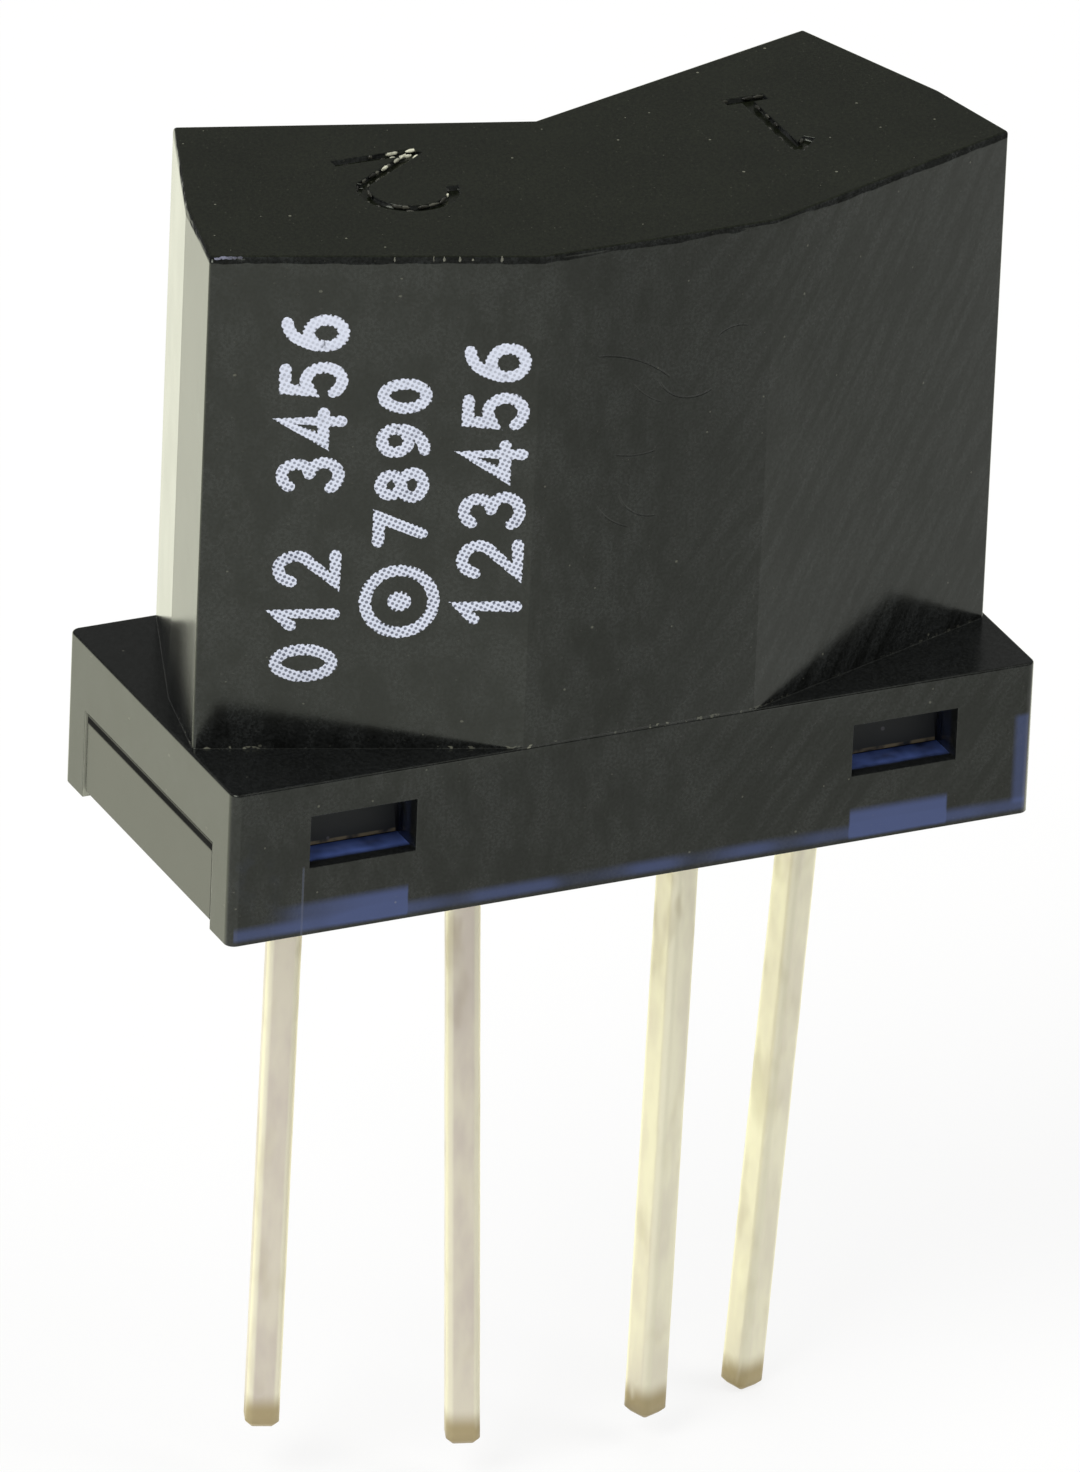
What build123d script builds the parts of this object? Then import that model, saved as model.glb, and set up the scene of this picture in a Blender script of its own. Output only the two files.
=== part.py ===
from build123d import *

import math
import os

# Reflective optical sensor for a printed board: a dark infrared-passing housing
# with a flange and a chevron tower, a carrier that snaps in from below, and two
# side-looking components, an emitter and a detector, whose axes meet in front.
# Millimetres and degrees. Z is up, X runs along the flange, and the sensing side
# faces +Y. The origin is the middle of the flange's underside, the board's plane.

# Flange
flange_length = 12.70
flange_width = 5.84
flange_height = 2.41
flange_wall = 0.66
flange_roof = 0.50
flange_corner_radius = 0.15

# Tower
body_height = 10.16
wing_angle = 20.0
sensing_angle = 17.5
middle_facet_length = 3.64
end_facet_rise = 1.625
end_facet_angle = 12.0
tower_wall = 0.50
tower_roof = 0.62
tower_corner_radius = 0.06
top_edge_radius = 0.05
flange_edge_radius = 0.04

# Notches in the flange's end walls, for the carrier's end blocks
notch_lintel = 0.53

# Snap slots in both long walls of the flange, with a lead-in ramp inside each wall
slot_length = 1.66
slot_height = 0.81
slot_headroom = 0.03
slot_end_inset = 1.24
ramp_depth = 0.30
ramp_height = 0.50

# Carrier
fit_clearance = 0.04
carrier_recess = 0.12
carrier_back_wall = 0.70
carrier_end_wall = 0.47
end_block_recess = 0.03
tab_reach = 0.10
tab_edge = 0.04
tab_side_clearance = 0.05
lead_hole_clearance = 0.03
aperture_clearance = 0.19

# Components: side-looking mouldings, one in each wing
package_width = 4.06
package_depth = 1.57
package_height = 5.72
package_headroom = 0.16
package_back = 0.65
package_corner_radius = 0.20
package_gap = 1.396
pocket_clearance = 0.05
lens_rise = 3.96
lens_radius = 0.76

# Leads
lead_size = 0.508
lead_edge_radius = 0.13
lead_pitch = 2.54
lead_tip_chamfer = 0.09
lead_bend_drop = 0.45
lead_bend_radius = 8.0
pad_size = 1.10
pad_arm_height = 0.55
post_foot_reach = 0.24
post_foot_height = 0.80

# Chips and bond wires
cup_radius = 0.40
cup_floor_radius = 0.28
cup_depth = 0.14
emitter_die_size = 0.36
emitter_die_height = 0.20
detector_die_size = 0.64
detector_die_height = 0.22
bond_wire_diameter = 0.04
bond_wire_sides = 8
bond_wire_rise = 0.18

# Numbers sunk in the tower's top: 1 for the emitter's wing, 2 for the detector's
digit_height = 1.80
digit_width = 1.30
digit_stroke = 0.18
digit_depth = 0.08
digit_shift_x = 0.23
digit_shift_y = 0.53

# Each component: its wing, +1 at +X and -1 at -X, its chip's size and height, and
# whether the chip sits in a cup
components = {
    "emitter": (1, emitter_die_size, emitter_die_height, True),
    "detector": (-1, detector_die_size, detector_die_height, False),
}

# Each lead: how far it reaches below the board's plane, and how far its tip is bent
# along the heading
leads = {
    "detector_collector_lead": (9.48, -0.07),
    "detector_emitter_lead": (9.75, 0.34),
    "emitter_anode_lead": (9.96, -0.12),
    "emitter_cathode_lead": (10.38, -0.48),
}
lead_bend_heading = -25.75

# Heights and depths worked out from the sizes above
front_y = -flange_width / 2
back_y = flange_width / 2
flange_ceiling = flange_height - flange_roof
tower_ceiling = body_height - tower_roof
notch_height = flange_ceiling - notch_lintel
slot_top = flange_ceiling - slot_headroom
slot_floor = slot_top - slot_height
slot_x = flange_length / 2 - slot_end_inset - slot_length / 2
package_top = tower_ceiling - package_headroom
package_floor = package_top - package_height
package_front = package_depth - package_back
optical_height = package_floor + lens_rise
lead_half = lead_size / 2

# The right component's place: its package stands off the middle and off the wing's front
along = Vector(1, 0).rotate(Axis.Z, wing_angle)
inward = Vector(0, 1).rotate(Axis.Z, wing_angle)
facet_corner = Vector(middle_facet_length / 2, front_y)
cover = tower_wall + fit_clearance + pocket_clearance
depth_reach = facet_corner.dot(inward) + cover + carrier_back_wall + package_back
component_x = package_gap / 2 + package_width / 2 * along.X - package_front * inward.X
along_reach = (component_x - depth_reach * inward.X) / along.X
component_place = along * along_reach + inward * depth_reach

# The right wing's corners, from the middle facet round its end, which covers the package
end_reach = along_reach + package_width / 2 + carrier_end_wall + cover
facet_step = Vector(-math.tan(math.radians(end_facet_angle)), 1) * end_facet_rise
front_corner = facet_corner + along * (end_reach - facet_step.dot(along) - facet_corner.dot(along))
end_corner = front_corner + facet_step
back_corner = Vector((end_reach - back_y * along.Y) / along.X, back_y)
valley = Vector(0, back_y - back_corner.X * math.tan(math.radians(sensing_angle)))

ABOVE = (Align.CENTER, Align.CENTER, Align.MIN)


def block(length, width, low, high, x=0.0, y=0.0):
    """A box centred on x and y that stands between two heights."""
    return Pos(x, y, low) * Box(length, width, high - low, align=ABOVE)


def wing(side):
    """The frame of the component in one wing: X along the wing, +Y to the sensing side."""
    place = Pos(side * component_place.X, component_place.Y, 0)
    return place * Rot(0, 0, side * wing_angle)


def tower_plan():
    """The chevron outline of the tower as a flat face, seen from above."""
    right_side = [facet_corner, front_corner, end_corner, back_corner]
    left_side = [Vector(-corner.X, corner.Y) for corner in reversed(right_side)]
    return make_face(Polyline(*right_side, valley, *left_side, close=True))


def inset_plan(inset):
    """The tower's outline moved inwards, cut to what passes up through the flange."""
    plan = offset(tower_plan(), amount=-inset, kind=Kind.INTERSECTION)
    passage = Rectangle(flange_length, flange_width - 2 * (flange_wall + inset - tower_wall))
    return plan & passage


def digit_strokes(digit):
    """The centre lines of a 1 or a 2, upright and centred on the origin."""
    half_height = digit_height / 2
    half_width = digit_width / 2
    if digit == 1:
        flag = Line((-half_width / 2, half_height - half_width / 2), (0, half_height))
        stem = Line((0, half_height), (0, -half_height))
        foot = Line((-half_width / 2, -half_height), (half_width / 2, -half_height))
        return [flag, stem, foot]
    bowl_y = half_height - half_width
    bowl = CenterArc((0, bowl_y), half_width, 170, -205)
    tail = Line(bowl @ 1, (-half_width, -half_height))
    foot = Line((-half_width, -half_height), (half_width, -half_height))
    return [bowl, tail, foot]


def digit_cut(digit, side):
    """A number to sink into the top of one wing, read from the sensing side."""
    strokes = [trace(stroke, line_width=digit_stroke) for stroke in digit_strokes(digit)]
    x = side * component_place.X + digit_shift_x
    y = component_place.Y + digit_shift_y
    place = Pos(x, y, body_height - digit_depth) * Rot(0, 0, 180)
    return [place * extrude(stroke, amount=2 * digit_depth) for stroke in strokes]


def slot_cut(side, wall_side):
    """The snap slot and its lead-in ramp, on one half of one long wall."""
    x = side * slot_x
    wall_y = wall_side * (back_y - flange_wall / 2)
    slot = block(slot_length, 2 * flange_wall, slot_floor, slot_top, x, wall_y)
    inner_y = wall_side * (back_y - flange_wall)
    ramp_points = [
        (inner_y - wall_side * fit_clearance, 0),
        (inner_y + wall_side * ramp_depth, 0),
        (inner_y, ramp_height),
        (inner_y - wall_side * fit_clearance, ramp_height),
    ]
    ramp_face = Plane.YZ * make_face(Polyline(*ramp_points, close=True))
    ramp = Pos(x, 0, 0) * extrude(ramp_face, amount=slot_length / 2, both=True)
    return [slot, ramp]


def make_housing():
    """The moulded shell: flange, tower, snap slots, end notches and sunk numbers."""
    flange = block(flange_length, flange_width, 0, flange_height)
    flange = fillet(flange.edges().filter_by(Axis.Z), flange_corner_radius)
    flange = fillet(flange.faces().sort_by(Axis.Z)[-1].edges(), flange_edge_radius)
    tower = extrude(tower_plan(), amount=body_height)
    uprights = tower.edges().filter_by(Axis.Z)
    corners = [edge for edge in uprights if abs(edge.center().X) > middle_facet_length]
    tower = fillet(corners, tower_corner_radius)
    tower = fillet(tower.faces().sort_by(Axis.Z)[-1].edges(), top_edge_radius)
    shell = flange + tower

    passage = flange_width - 2 * flange_wall
    chamber = flange_length - 2 * flange_wall
    shell -= block(2 * flange_length, passage, -flange_height, notch_height)
    shell -= block(chamber, passage, 0, flange_ceiling)
    shell -= extrude(inset_plan(tower_wall), amount=tower_ceiling)
    for side in (1, -1):
        for wall_side in (1, -1):
            shell -= slot_cut(side, wall_side)
    shell -= digit_cut(1, 1)
    shell -= digit_cut(2, -1)
    return shell


def snap_tab(side, wall_side):
    """A wedge on the carrier that springs into a slot and bears on its floor."""
    face_y = back_y - flange_wall - fit_clearance
    low = slot_floor + fit_clearance
    high = slot_top - fit_clearance
    wedge_points = [
        (wall_side * (face_y - fit_clearance), low),
        (wall_side * (face_y + tab_reach), low),
        (wall_side * (face_y + tab_reach), low + tab_edge),
        (wall_side * (face_y - fit_clearance), high),
    ]
    wedge_face = Plane.YZ * make_face(Polyline(*wedge_points, close=True))
    half_length = slot_length / 2 - tab_side_clearance
    return Pos(side * slot_x, 0, 0) * extrude(wedge_face, amount=half_length, both=True)


def component_pocket():
    """The room that a component takes in the carrier, in the wing's own frame."""
    width = package_width + 2 * pocket_clearance
    depth = package_depth + 2 * pocket_clearance
    middle = (package_front - package_back) / 2
    pocket = block(width, depth, package_floor, body_height, 0, middle)
    axis = Pos(0, package_front, optical_height) * Rot(-90, 0, 0)
    aperture = axis * Cylinder(lens_radius + aperture_clearance, flange_width, align=ABOVE)
    hole_size = lead_size + 2 * lead_hole_clearance
    stems = (lead_pitch / 2, -lead_pitch / 2)
    holes = [block(hole_size, hole_size, 0, package_floor + hole_size, x) for x in stems]
    return [pocket, aperture, *holes]


def make_carrier():
    """The opaque carrier: end blocks, snap tabs, and a pocket and aperture in each wing."""
    width = flange_width - 2 * (flange_wall + fit_clearance)
    low_length = flange_length - 2 * end_block_recess
    high_length = flange_length - 2 * (flange_wall + fit_clearance)
    body = block(low_length, width, carrier_recess, notch_height - fit_clearance)
    body += block(high_length, width, carrier_recess, flange_ceiling - fit_clearance)
    core_height = package_top - carrier_recess
    core_plan = inset_plan(tower_wall + fit_clearance)
    body += Pos(0, 0, carrier_recess) * extrude(core_plan, amount=core_height)
    for side in (1, -1):
        for wall_side in (1, -1):
            body += snap_tab(side, wall_side)
        body -= [wing(side) * cut for cut in component_pocket()]
    return body


def lead_tail(name, place):
    """The part of a lead from the underside of its package down to its bent tip."""
    drop, bend = leads[name]
    heading = math.radians(lead_bend_heading)
    sideways = Vector(math.cos(heading), math.sin(heading), 0)
    foot = place.position
    top = foot + Vector(0, 0, package_floor)
    knee = foot - Vector(0, 0, lead_bend_drop)
    tip = foot + sideways * bend - Vector(0, 0, drop)
    path = FilletPolyline(top, knee, tip, radius=lead_bend_radius)
    section = place * Pos(0, 0, package_floor) * RectangleRounded(lead_size, lead_size, lead_edge_radius)
    tail = sweep(section, path=path)
    return chamfer(tail.faces().sort_by(Axis.Z)[0].edges(), lead_tip_chamfer)


def pad_head(side):
    """The upper part of the lead that carries the chip, in the wing's own frame."""
    pad_low = optical_height - pad_size / 2
    pad_top = optical_height + pad_size / 2
    arm_low = optical_height - pad_arm_height / 2
    arm_top = optical_height + pad_arm_height / 2
    stem_x = side * lead_pitch / 2
    head = block(lead_size, lead_size, package_floor, pad_top, stem_x)
    head += block(lead_pitch / 2, lead_size, arm_low, arm_top, stem_x / 2)
    return head + block(pad_size, lead_size, pad_low, pad_top)


def post_head(side):
    """The upper part of the lead that takes the bond wire, in the wing's own frame."""
    top = optical_height + post_foot_height / 2
    head = block(lead_size, lead_size, package_floor, top, side * lead_pitch / 2)
    foot_length = lead_size + post_foot_reach
    foot_x = side * (lead_pitch - post_foot_reach) / 2
    return head + block(foot_length, lead_size, top - post_foot_height, top, foot_x)


def reflector_cup():
    """The shallow cone pressed into the emitter's pad, with its floor under the chip."""
    floor = Pos(0, lead_half - cup_depth, optical_height) * Rot(-90, 0, 0)
    return floor * Cone(cup_floor_radius, cup_radius, cup_depth, align=ABOVE)


def bond_wire(side, die_front, die_size):
    """A fine arched wire from the chip's front to the foot of the post lead."""
    wire_radius = bond_wire_diameter / 2
    start_x = side * die_size / 4
    end_x = side * (lead_pitch - lead_size - post_foot_reach) / 2
    start = Vector(start_x, die_front - wire_radius, optical_height)
    end = Vector(end_x, lead_half - wire_radius, optical_height)
    crest_y = max(die_front, lead_half) + bond_wire_rise
    crest = Vector((start_x + end_x) / 2, crest_y, optical_height)
    path = ThreePointArc(start, crest, end)
    section = Plane(origin=start, z_dir=path % 0) * RegularPolygon(wire_radius, bond_wire_sides)
    return sweep(section, path=path)


def make_component(kind, pad_lead, post_lead):
    """One side-looking component: package, chip, wire, and a lead each way out."""
    side, die_size, die_height, cup = components[kind]
    frame = wing(side)
    pad = pad_head(side)
    post = post_head(-side)
    die_back = lead_half
    if cup:
        pad -= reflector_cup()
        die_back -= cup_depth
    die_front = die_back + die_height
    die = Pos(0, (die_back + die_front) / 2, optical_height) * Box(die_size, die_height, die_size)
    wire = bond_wire(-side, die_front, die_size) - die - post

    package_middle = (package_front - package_back) / 2
    package = block(package_width, package_depth, package_floor, package_top, 0, package_middle)
    package = fillet(package.edges().filter_by(Axis.Z), package_corner_radius)
    package += Pos(0, package_front, optical_height) * Sphere(lens_radius)
    package -= [pad, post, die, wire]

    pieces = {
        kind + "_package": package,
        pad_lead: pad,
        post_lead: post,
        kind + "_die": die,
        kind + "_bond_wire": wire,
    }
    placed = {name: frame * piece for name, piece in pieces.items()}
    for name, stem_x in ((pad_lead, side * lead_pitch / 2), (post_lead, -side * lead_pitch / 2)):
        placed[name] += lead_tail(name, frame * Pos(stem_x, 0, 0))
    return placed


def main():
    """Builds every piece and writes each one as a node of its own."""
    pieces = {"housing": make_housing(), "carrier": make_carrier()}
    pieces |= make_component("emitter", "emitter_cathode_lead", "emitter_anode_lead")
    pieces |= make_component("detector", "detector_collector_lead", "detector_emitter_lead")
    os.makedirs("parts", exist_ok=True)
    for name, piece in pieces.items():
        export_step(piece, os.path.join("parts", name + ".step"))


main()
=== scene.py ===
import math
import random

import bmesh
import bpy
from bpy.props import FloatProperty, FloatVectorProperty, PointerProperty, StringProperty
from mathutils import Matrix, Vector, noise


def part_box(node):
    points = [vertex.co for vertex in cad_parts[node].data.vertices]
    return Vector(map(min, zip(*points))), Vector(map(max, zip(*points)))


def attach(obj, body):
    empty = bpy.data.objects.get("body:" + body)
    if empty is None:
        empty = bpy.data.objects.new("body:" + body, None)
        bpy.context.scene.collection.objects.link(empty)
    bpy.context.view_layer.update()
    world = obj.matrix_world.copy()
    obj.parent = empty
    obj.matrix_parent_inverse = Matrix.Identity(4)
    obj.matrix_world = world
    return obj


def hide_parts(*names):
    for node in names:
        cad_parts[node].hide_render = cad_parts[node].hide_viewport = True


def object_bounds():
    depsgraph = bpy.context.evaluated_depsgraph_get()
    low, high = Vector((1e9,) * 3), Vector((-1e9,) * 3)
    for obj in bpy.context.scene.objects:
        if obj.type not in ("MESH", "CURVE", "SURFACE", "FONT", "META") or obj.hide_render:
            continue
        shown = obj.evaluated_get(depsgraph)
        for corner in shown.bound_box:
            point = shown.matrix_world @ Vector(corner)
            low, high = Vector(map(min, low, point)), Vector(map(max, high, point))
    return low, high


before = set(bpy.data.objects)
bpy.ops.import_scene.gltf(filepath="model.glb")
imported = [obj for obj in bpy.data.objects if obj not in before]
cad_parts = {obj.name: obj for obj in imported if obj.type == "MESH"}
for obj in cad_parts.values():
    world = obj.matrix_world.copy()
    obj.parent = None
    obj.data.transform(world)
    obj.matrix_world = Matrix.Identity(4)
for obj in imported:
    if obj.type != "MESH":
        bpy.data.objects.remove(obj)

bl_info = {
    "name": "Reflective Sensor Dressing",
    "version": (1, 0, 0),
    "blender": (4, 5, 0),
    "location": "3D View > Sidebar > Sensor",
    "description": "Dresses the solids of a board-mounted reflective sensor and sets up its studio",
    "category": "Object",
}

# The CAD model's box, kept from straight after loading, and the body that everything rides on
CAD_BOX = [list(corner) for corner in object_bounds()]
BODY = "root"
MM = 0.001

# Places on the housing in millimetres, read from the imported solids
HOUSING_LOW, HOUSING_HIGH = (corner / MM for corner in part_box("housing"))
FRONT_Y = HOUSING_LOW.y
TOP_Z = HOUSING_HIGH.z
END_X = HOUSING_HIGH.x
FLOOR_Z = CAD_BOX[0][2]

# The tower's wings: where the middle facet ends, and how far each wing is turned back
MIDDLE_FACET_HALF = 1.82
WING_ANGLE = math.radians(20.0)
FLANGE_TOP_Z = 2.41

# The snap slots in the flange's long walls: their ends along X and their heights
SLOT_INNER_X = 3.45
SLOT_OUTER_X = 5.11
SLOT_FLOOR_Z = 1.07
SLOT_TOP_Z = 1.88

# The inner faces of the flange's long walls, the seam beside an end block, and the snap tab's
# front edge with the heights that it lies between
PASSAGE_Y = 2.26
SEAM_Y = 2.24
TAB_FRONT_Y = -2.32
TAB_EDGE_LOW_Z = 1.11
TAB_EDGE_HIGH_Z = 1.15


class Value:
    """A socket that carries a number, on which arithmetic adds Math nodes."""

    def __init__(self, shader, socket):
        self.shader = shader
        self.socket = socket

    def _math(self, operation, *terms):
        return self.shader.add("ShaderNodeMath", {"operation": operation}, dict(enumerate(terms)))

    def __add__(self, other):
        return self._math("ADD", self, other)

    __radd__ = __add__

    def __sub__(self, other):
        return self._math("SUBTRACT", self, other)

    def __rsub__(self, other):
        return self._math("SUBTRACT", other, self)

    def __mul__(self, other):
        return self._math("MULTIPLY", self, other)

    __rmul__ = __mul__

    def __truediv__(self, other):
        return self._math("DIVIDE", self, other)

    def __neg__(self):
        return self._math("MULTIPLY", self, -1.0)

    def __abs__(self):
        return self._math("ABSOLUTE", self)

    def sine(self):
        """The sine of this value in radians."""
        return self._math("SINE", self)

    def root(self):
        """The square root of this value."""
        return self._math("SQRT", self)

    def angle(self, across):
        """The angle in radians of the point that lies across to the right and this value up."""
        return self._math("ARCTAN2", self, across)

    def limited(self):
        """This value kept between 0 and 1."""
        return self.shader.add("ShaderNodeClamp", {}, {"Value": self})


class Shader:
    """The nodes of one material or world, added one at a time."""

    def __init__(self, owner):
        owner.use_nodes = True
        self.tree = owner.node_tree
        self.tree.nodes.clear()

    def add(self, kind, settings=None, inputs=None, output=0):
        """Adds a node: its type, its settings first, then values or links of its sockets."""
        node = self.tree.nodes.new(kind)
        for name, setting in (settings or {}).items():
            setattr(node, name, setting)
        for name, given in (inputs or {}).items():
            if isinstance(given, Value):
                self.tree.links.new(given.socket, node.inputs[name])
            else:
                node.inputs[name].default_value = given
        if not node.outputs:
            return node
        return Value(self, node.outputs[output])

    def place(self):
        """The place on the object in millimetres, as a vector."""
        coordinates = self.add("ShaderNodeTexCoord", output="Object")
        return self.scaled(coordinates, 1.0 / MM)

    def scaled(self, vector, factor):
        """A vector times a number, or times three numbers."""
        factors = (factor,) * 3 if isinstance(factor, float) else factor
        return self.add("ShaderNodeVectorMath", {"operation": "MULTIPLY"}, {0: vector, 1: factors})

    def turned(self, vector, angles):
        """A vector turned back by three angles in radians."""
        inputs = {"Vector": vector, "Rotation": angles}
        return self.add("ShaderNodeMapping", {"vector_type": "TEXTURE"}, inputs)

    def axis(self, vector, name):
        """One coordinate of a vector, as a number."""
        return self.add("ShaderNodeSeparateXYZ", {}, {0: vector}, output=name)

    def joined(self, across, upward, third=0.0):
        """A vector made of three numbers."""
        return self.add("ShaderNodeCombineXYZ", {}, {0: across, 1: upward, 2: third})

    def ray(self, name):
        """1 for the rays of one kind and 0 for the others."""
        return self.add("ShaderNodeLightPath", output=name)

    def facing(self, name, output="Normal"):
        """One coordinate of the surface's own direction, as a number."""
        return self.axis(self.add("ShaderNodeNewGeometry", output=output), name)

    def ramp(self, value, low, high):
        """0 at low and 1 at high, smooth between them and level beyond them."""
        settings = {"interpolation_type": "SMOOTHSTEP"}
        inputs = {"Value": value, "From Min": low, "From Max": high}
        return self.add("ShaderNodeMapRange", settings, inputs)

    def band(self, value, low, high, soft):
        """1 between low and high, fading to 0 over a soft edge outside them."""
        return self.ramp(value, low - soft, low) * (1.0 - self.ramp(value, high, high + soft))

    def cloud(self, vector, size, detail=2.0, roughness=0.5, distortion=0.0, dimensions="3D"):
        """Smooth noise of one wavelength in the vector's units, from 0 to 1."""
        inputs = {
            "Vector": vector,
            "Scale": 1.0 / size,
            "Detail": detail,
            "Roughness": roughness,
            "Distortion": distortion,
        }
        return self.add("ShaderNodeTexNoise", {"noise_dimensions": dimensions}, inputs)

    def specks(self, vector, spacing, radius, share, dimensions="3D"):
        """Round specks of uneven size, in a share of the cells of a scattered lattice."""
        settings = {"voronoi_dimensions": dimensions}
        inputs = {"Vector": vector, "Scale": 1.0 / spacing}
        distance = self.add("ShaderNodeTexVoronoi", settings, inputs, output="Distance")
        cell_color = Value(self, distance.socket.node.outputs["Color"])
        lot = self.add("ShaderNodeSeparateColor", {}, {0: cell_color})
        size = self.add("ShaderNodeSeparateColor", {}, {0: cell_color}, output=1)
        reach = (0.35 + size) * (radius / spacing)
        chosen = self.ramp(lot, 1.0 - share - 0.01, 1.0 - share)
        return (1.0 - self.ramp(distance / reach, 0.6, 1.0)) * chosen

    def mix(self, factor, first, second):
        """The first colour where the factor is 0 and the second where it is 1."""
        inputs = {0: factor, 6: first, 7: second}
        return self.add("ShaderNodeMix", {"data_type": "RGBA"}, inputs, output=2)

    def bump(self, height):
        """The surface's direction over a height in millimetres."""
        return self.add("ShaderNodeBump", {}, {"Height": height, "Distance": MM, "Strength": 1.0})

    def surface(self, **sockets):
        """A Principled surface on the output, given by its sockets' names with _ for spaces."""
        inputs = {name.replace("_", " "): given for name, given in sockets.items()}
        shader = self.add("ShaderNodeBsdfPrincipled", {}, inputs)
        self.add("ShaderNodeOutputMaterial", {}, {"Surface": shader})


def rgba(color):
    """A colour property as four numbers."""
    return (color[0], color[1], color[2], 1.0)


def new_material(name):
    """An empty material with its shader."""
    material = bpy.data.materials.new(name)
    return material, Shader(material)


def new_piece(name, mesh, material):
    """Links a mesh as a piece that rides on the part, with the given material."""
    piece = bpy.data.objects.new(name, mesh)
    bpy.context.scene.collection.objects.link(piece)
    mesh.materials.clear()
    mesh.materials.append(material)
    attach(piece, BODY)
    return piece


def assign(node, material):
    """Gives a CAD node its material, in every slot that it has."""
    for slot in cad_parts[node].material_slots:
        slot.material = material


class HousingSettings(bpy.types.PropertyGroup):
    """What a user would change on the moulded housing."""

    body_color: FloatVectorProperty(
        name="Body colour", description="Colour of the thick infrared-passing plastic", subtype="COLOR",
        size=3, min=0.0, max=1.0, default=(0.0100, 0.0107, 0.0106),
    )
    # The top's colour is a painted sheen: greener and a little darker than the body's.
    top_sheen_color: FloatVectorProperty(
        name="Top colour", description="Colour of the tower's top, which is a little greener",
        subtype="COLOR", size=3, min=0.0, max=1.0, default=(0.0090, 0.0106, 0.0060),
    )
    thin_color: FloatVectorProperty(
        name="Thin-wall colour", description="Colour of the light that comes through thin walls",
        subtype="COLOR", size=3, min=0.0, max=1.0, default=(0.049, 0.072, 0.190),
    )
    slot_color: FloatVectorProperty(
        name="Slot colour", description="Colour of the light on the floors of the snap slots",
        subtype="COLOR", size=3, min=0.0, max=1.0, default=(0.106, 0.168, 0.480),
    )
    dust_color: FloatVectorProperty(
        name="Dust colour", description="Colour of dust specks and rubbed spots", subtype="COLOR",
        size=3, min=0.0, max=1.0, default=(0.42, 0.42, 0.32),
    )
    gloss_tint: FloatVectorProperty(
        name="Gloss tint", description="Tint of the plastic's reflections", subtype="COLOR",
        size=3, min=0.0, max=1.0, default=(0.95, 1.0, 0.85),
    )
    roughness: FloatProperty(
        name="Roughness", description="Roughness of the moulded faces", subtype="FACTOR",
        min=0.0, max=1.0, default=0.15,
    )
    refraction: FloatProperty(
        name="Refractive index", description="Refractive index of the plastic",
        min=1.0, max=2.5, default=1.55,
    )
    edge_bevel: FloatProperty(
        name="Edge rounding", description="Width of the rounding on the moulded edges, in metres",
        subtype="DISTANCE", unit="LENGTH", min=0.0, max=0.0001, default=0.000012,
    )


class CarrierSettings(bpy.types.PropertyGroup):
    """What a user would change on the carrier."""

    color: FloatVectorProperty(
        name="Colour", description="Colour of the opaque carrier", subtype="COLOR",
        size=3, min=0.0, max=1.0, default=(0.010, 0.010, 0.009),
    )
    roughness: FloatProperty(
        name="Roughness", description="Roughness of the carrier", subtype="FACTOR",
        min=0.0, max=1.0, default=0.18,
    )


class LeadSettings(bpy.types.PropertyGroup):
    """What a user would change on the leads."""

    # The tin's colour, which the leads' rounded edges also show as a painted highlight.
    tin_and_edge_highlight_color: FloatVectorProperty(
        name="Tin colour", description="Colour of the clean tin on the leads' edges", subtype="COLOR",
        size=3, min=0.0, max=1.0, default=(1.0, 0.96, 0.73),
    )
    blush_color: FloatVectorProperty(
        name="Blush colour", description="Colour of the pinkish grey on the leads' faces",
        subtype="COLOR", size=3, min=0.0, max=1.0, default=(0.67, 0.595, 0.52),
    )
    stain_color: FloatVectorProperty(
        name="Stain colour", description="Colour of the tarnish at the flange and at the tips",
        subtype="COLOR", size=3, min=0.0, max=1.0, default=(0.44, 0.35, 0.175),
    )
    metallic: FloatProperty(
        name="Metallic", description="How far the dull tin looks like clean metal", subtype="FACTOR",
        min=0.0, max=1.0, default=0.6,
    )
    roughness: FloatProperty(
        name="Roughness", description="Roughness of the tin", subtype="FACTOR",
        min=0.0, max=1.0, default=0.40,
    )
    ripple: FloatProperty(
        name="Ripple", description="Height of the ripples in the tin, in metres",
        subtype="DISTANCE", unit="LENGTH", min=0.0, max=0.00005, default=0.000006,
    )


class PrintSettings(bpy.types.PropertyGroup):
    """What a user would change in the printed numbers."""

    ink_color: FloatVectorProperty(
        name="Ink colour", description="Colour of the ink", subtype="COLOR",
        size=3, min=0.0, max=1.0, default=(0.74, 0.78, 0.90),
    )
    gap_color: FloatVectorProperty(
        name="Gap colour", description="Colour of the plastic between the ink's dots", subtype="COLOR",
        size=3, min=0.0, max=1.0, default=(0.055, 0.065, 0.105),
    )
    stroke: FloatProperty(
        name="Stroke", description="Width of a stroke, in metres",
        subtype="DISTANCE", unit="LENGTH", min=0.00005, max=0.0004, default=0.00019,
    )
    thickness: FloatProperty(
        name="Thickness", description="Thickness of the ink, in metres",
        subtype="DISTANCE", unit="LENGTH", min=0.000001, max=0.00002, default=0.000006,
    )
    dot_pitch: FloatProperty(
        name="Dot pitch", description="Distance between the screen's dots, in metres",
        subtype="DISTANCE", unit="LENGTH", min=0.00002, max=0.0003, default=0.000069,
    )
    first_text: StringProperty(
        name="First line", description="The outer line of numbers", default="012 3456",
    )
    second_text: StringProperty(
        name="Second line", description="The line after the round mark", default="7890",
    )
    third_text: StringProperty(
        name="Third line", description="The inner line of numbers", default="123456",
    )


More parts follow.
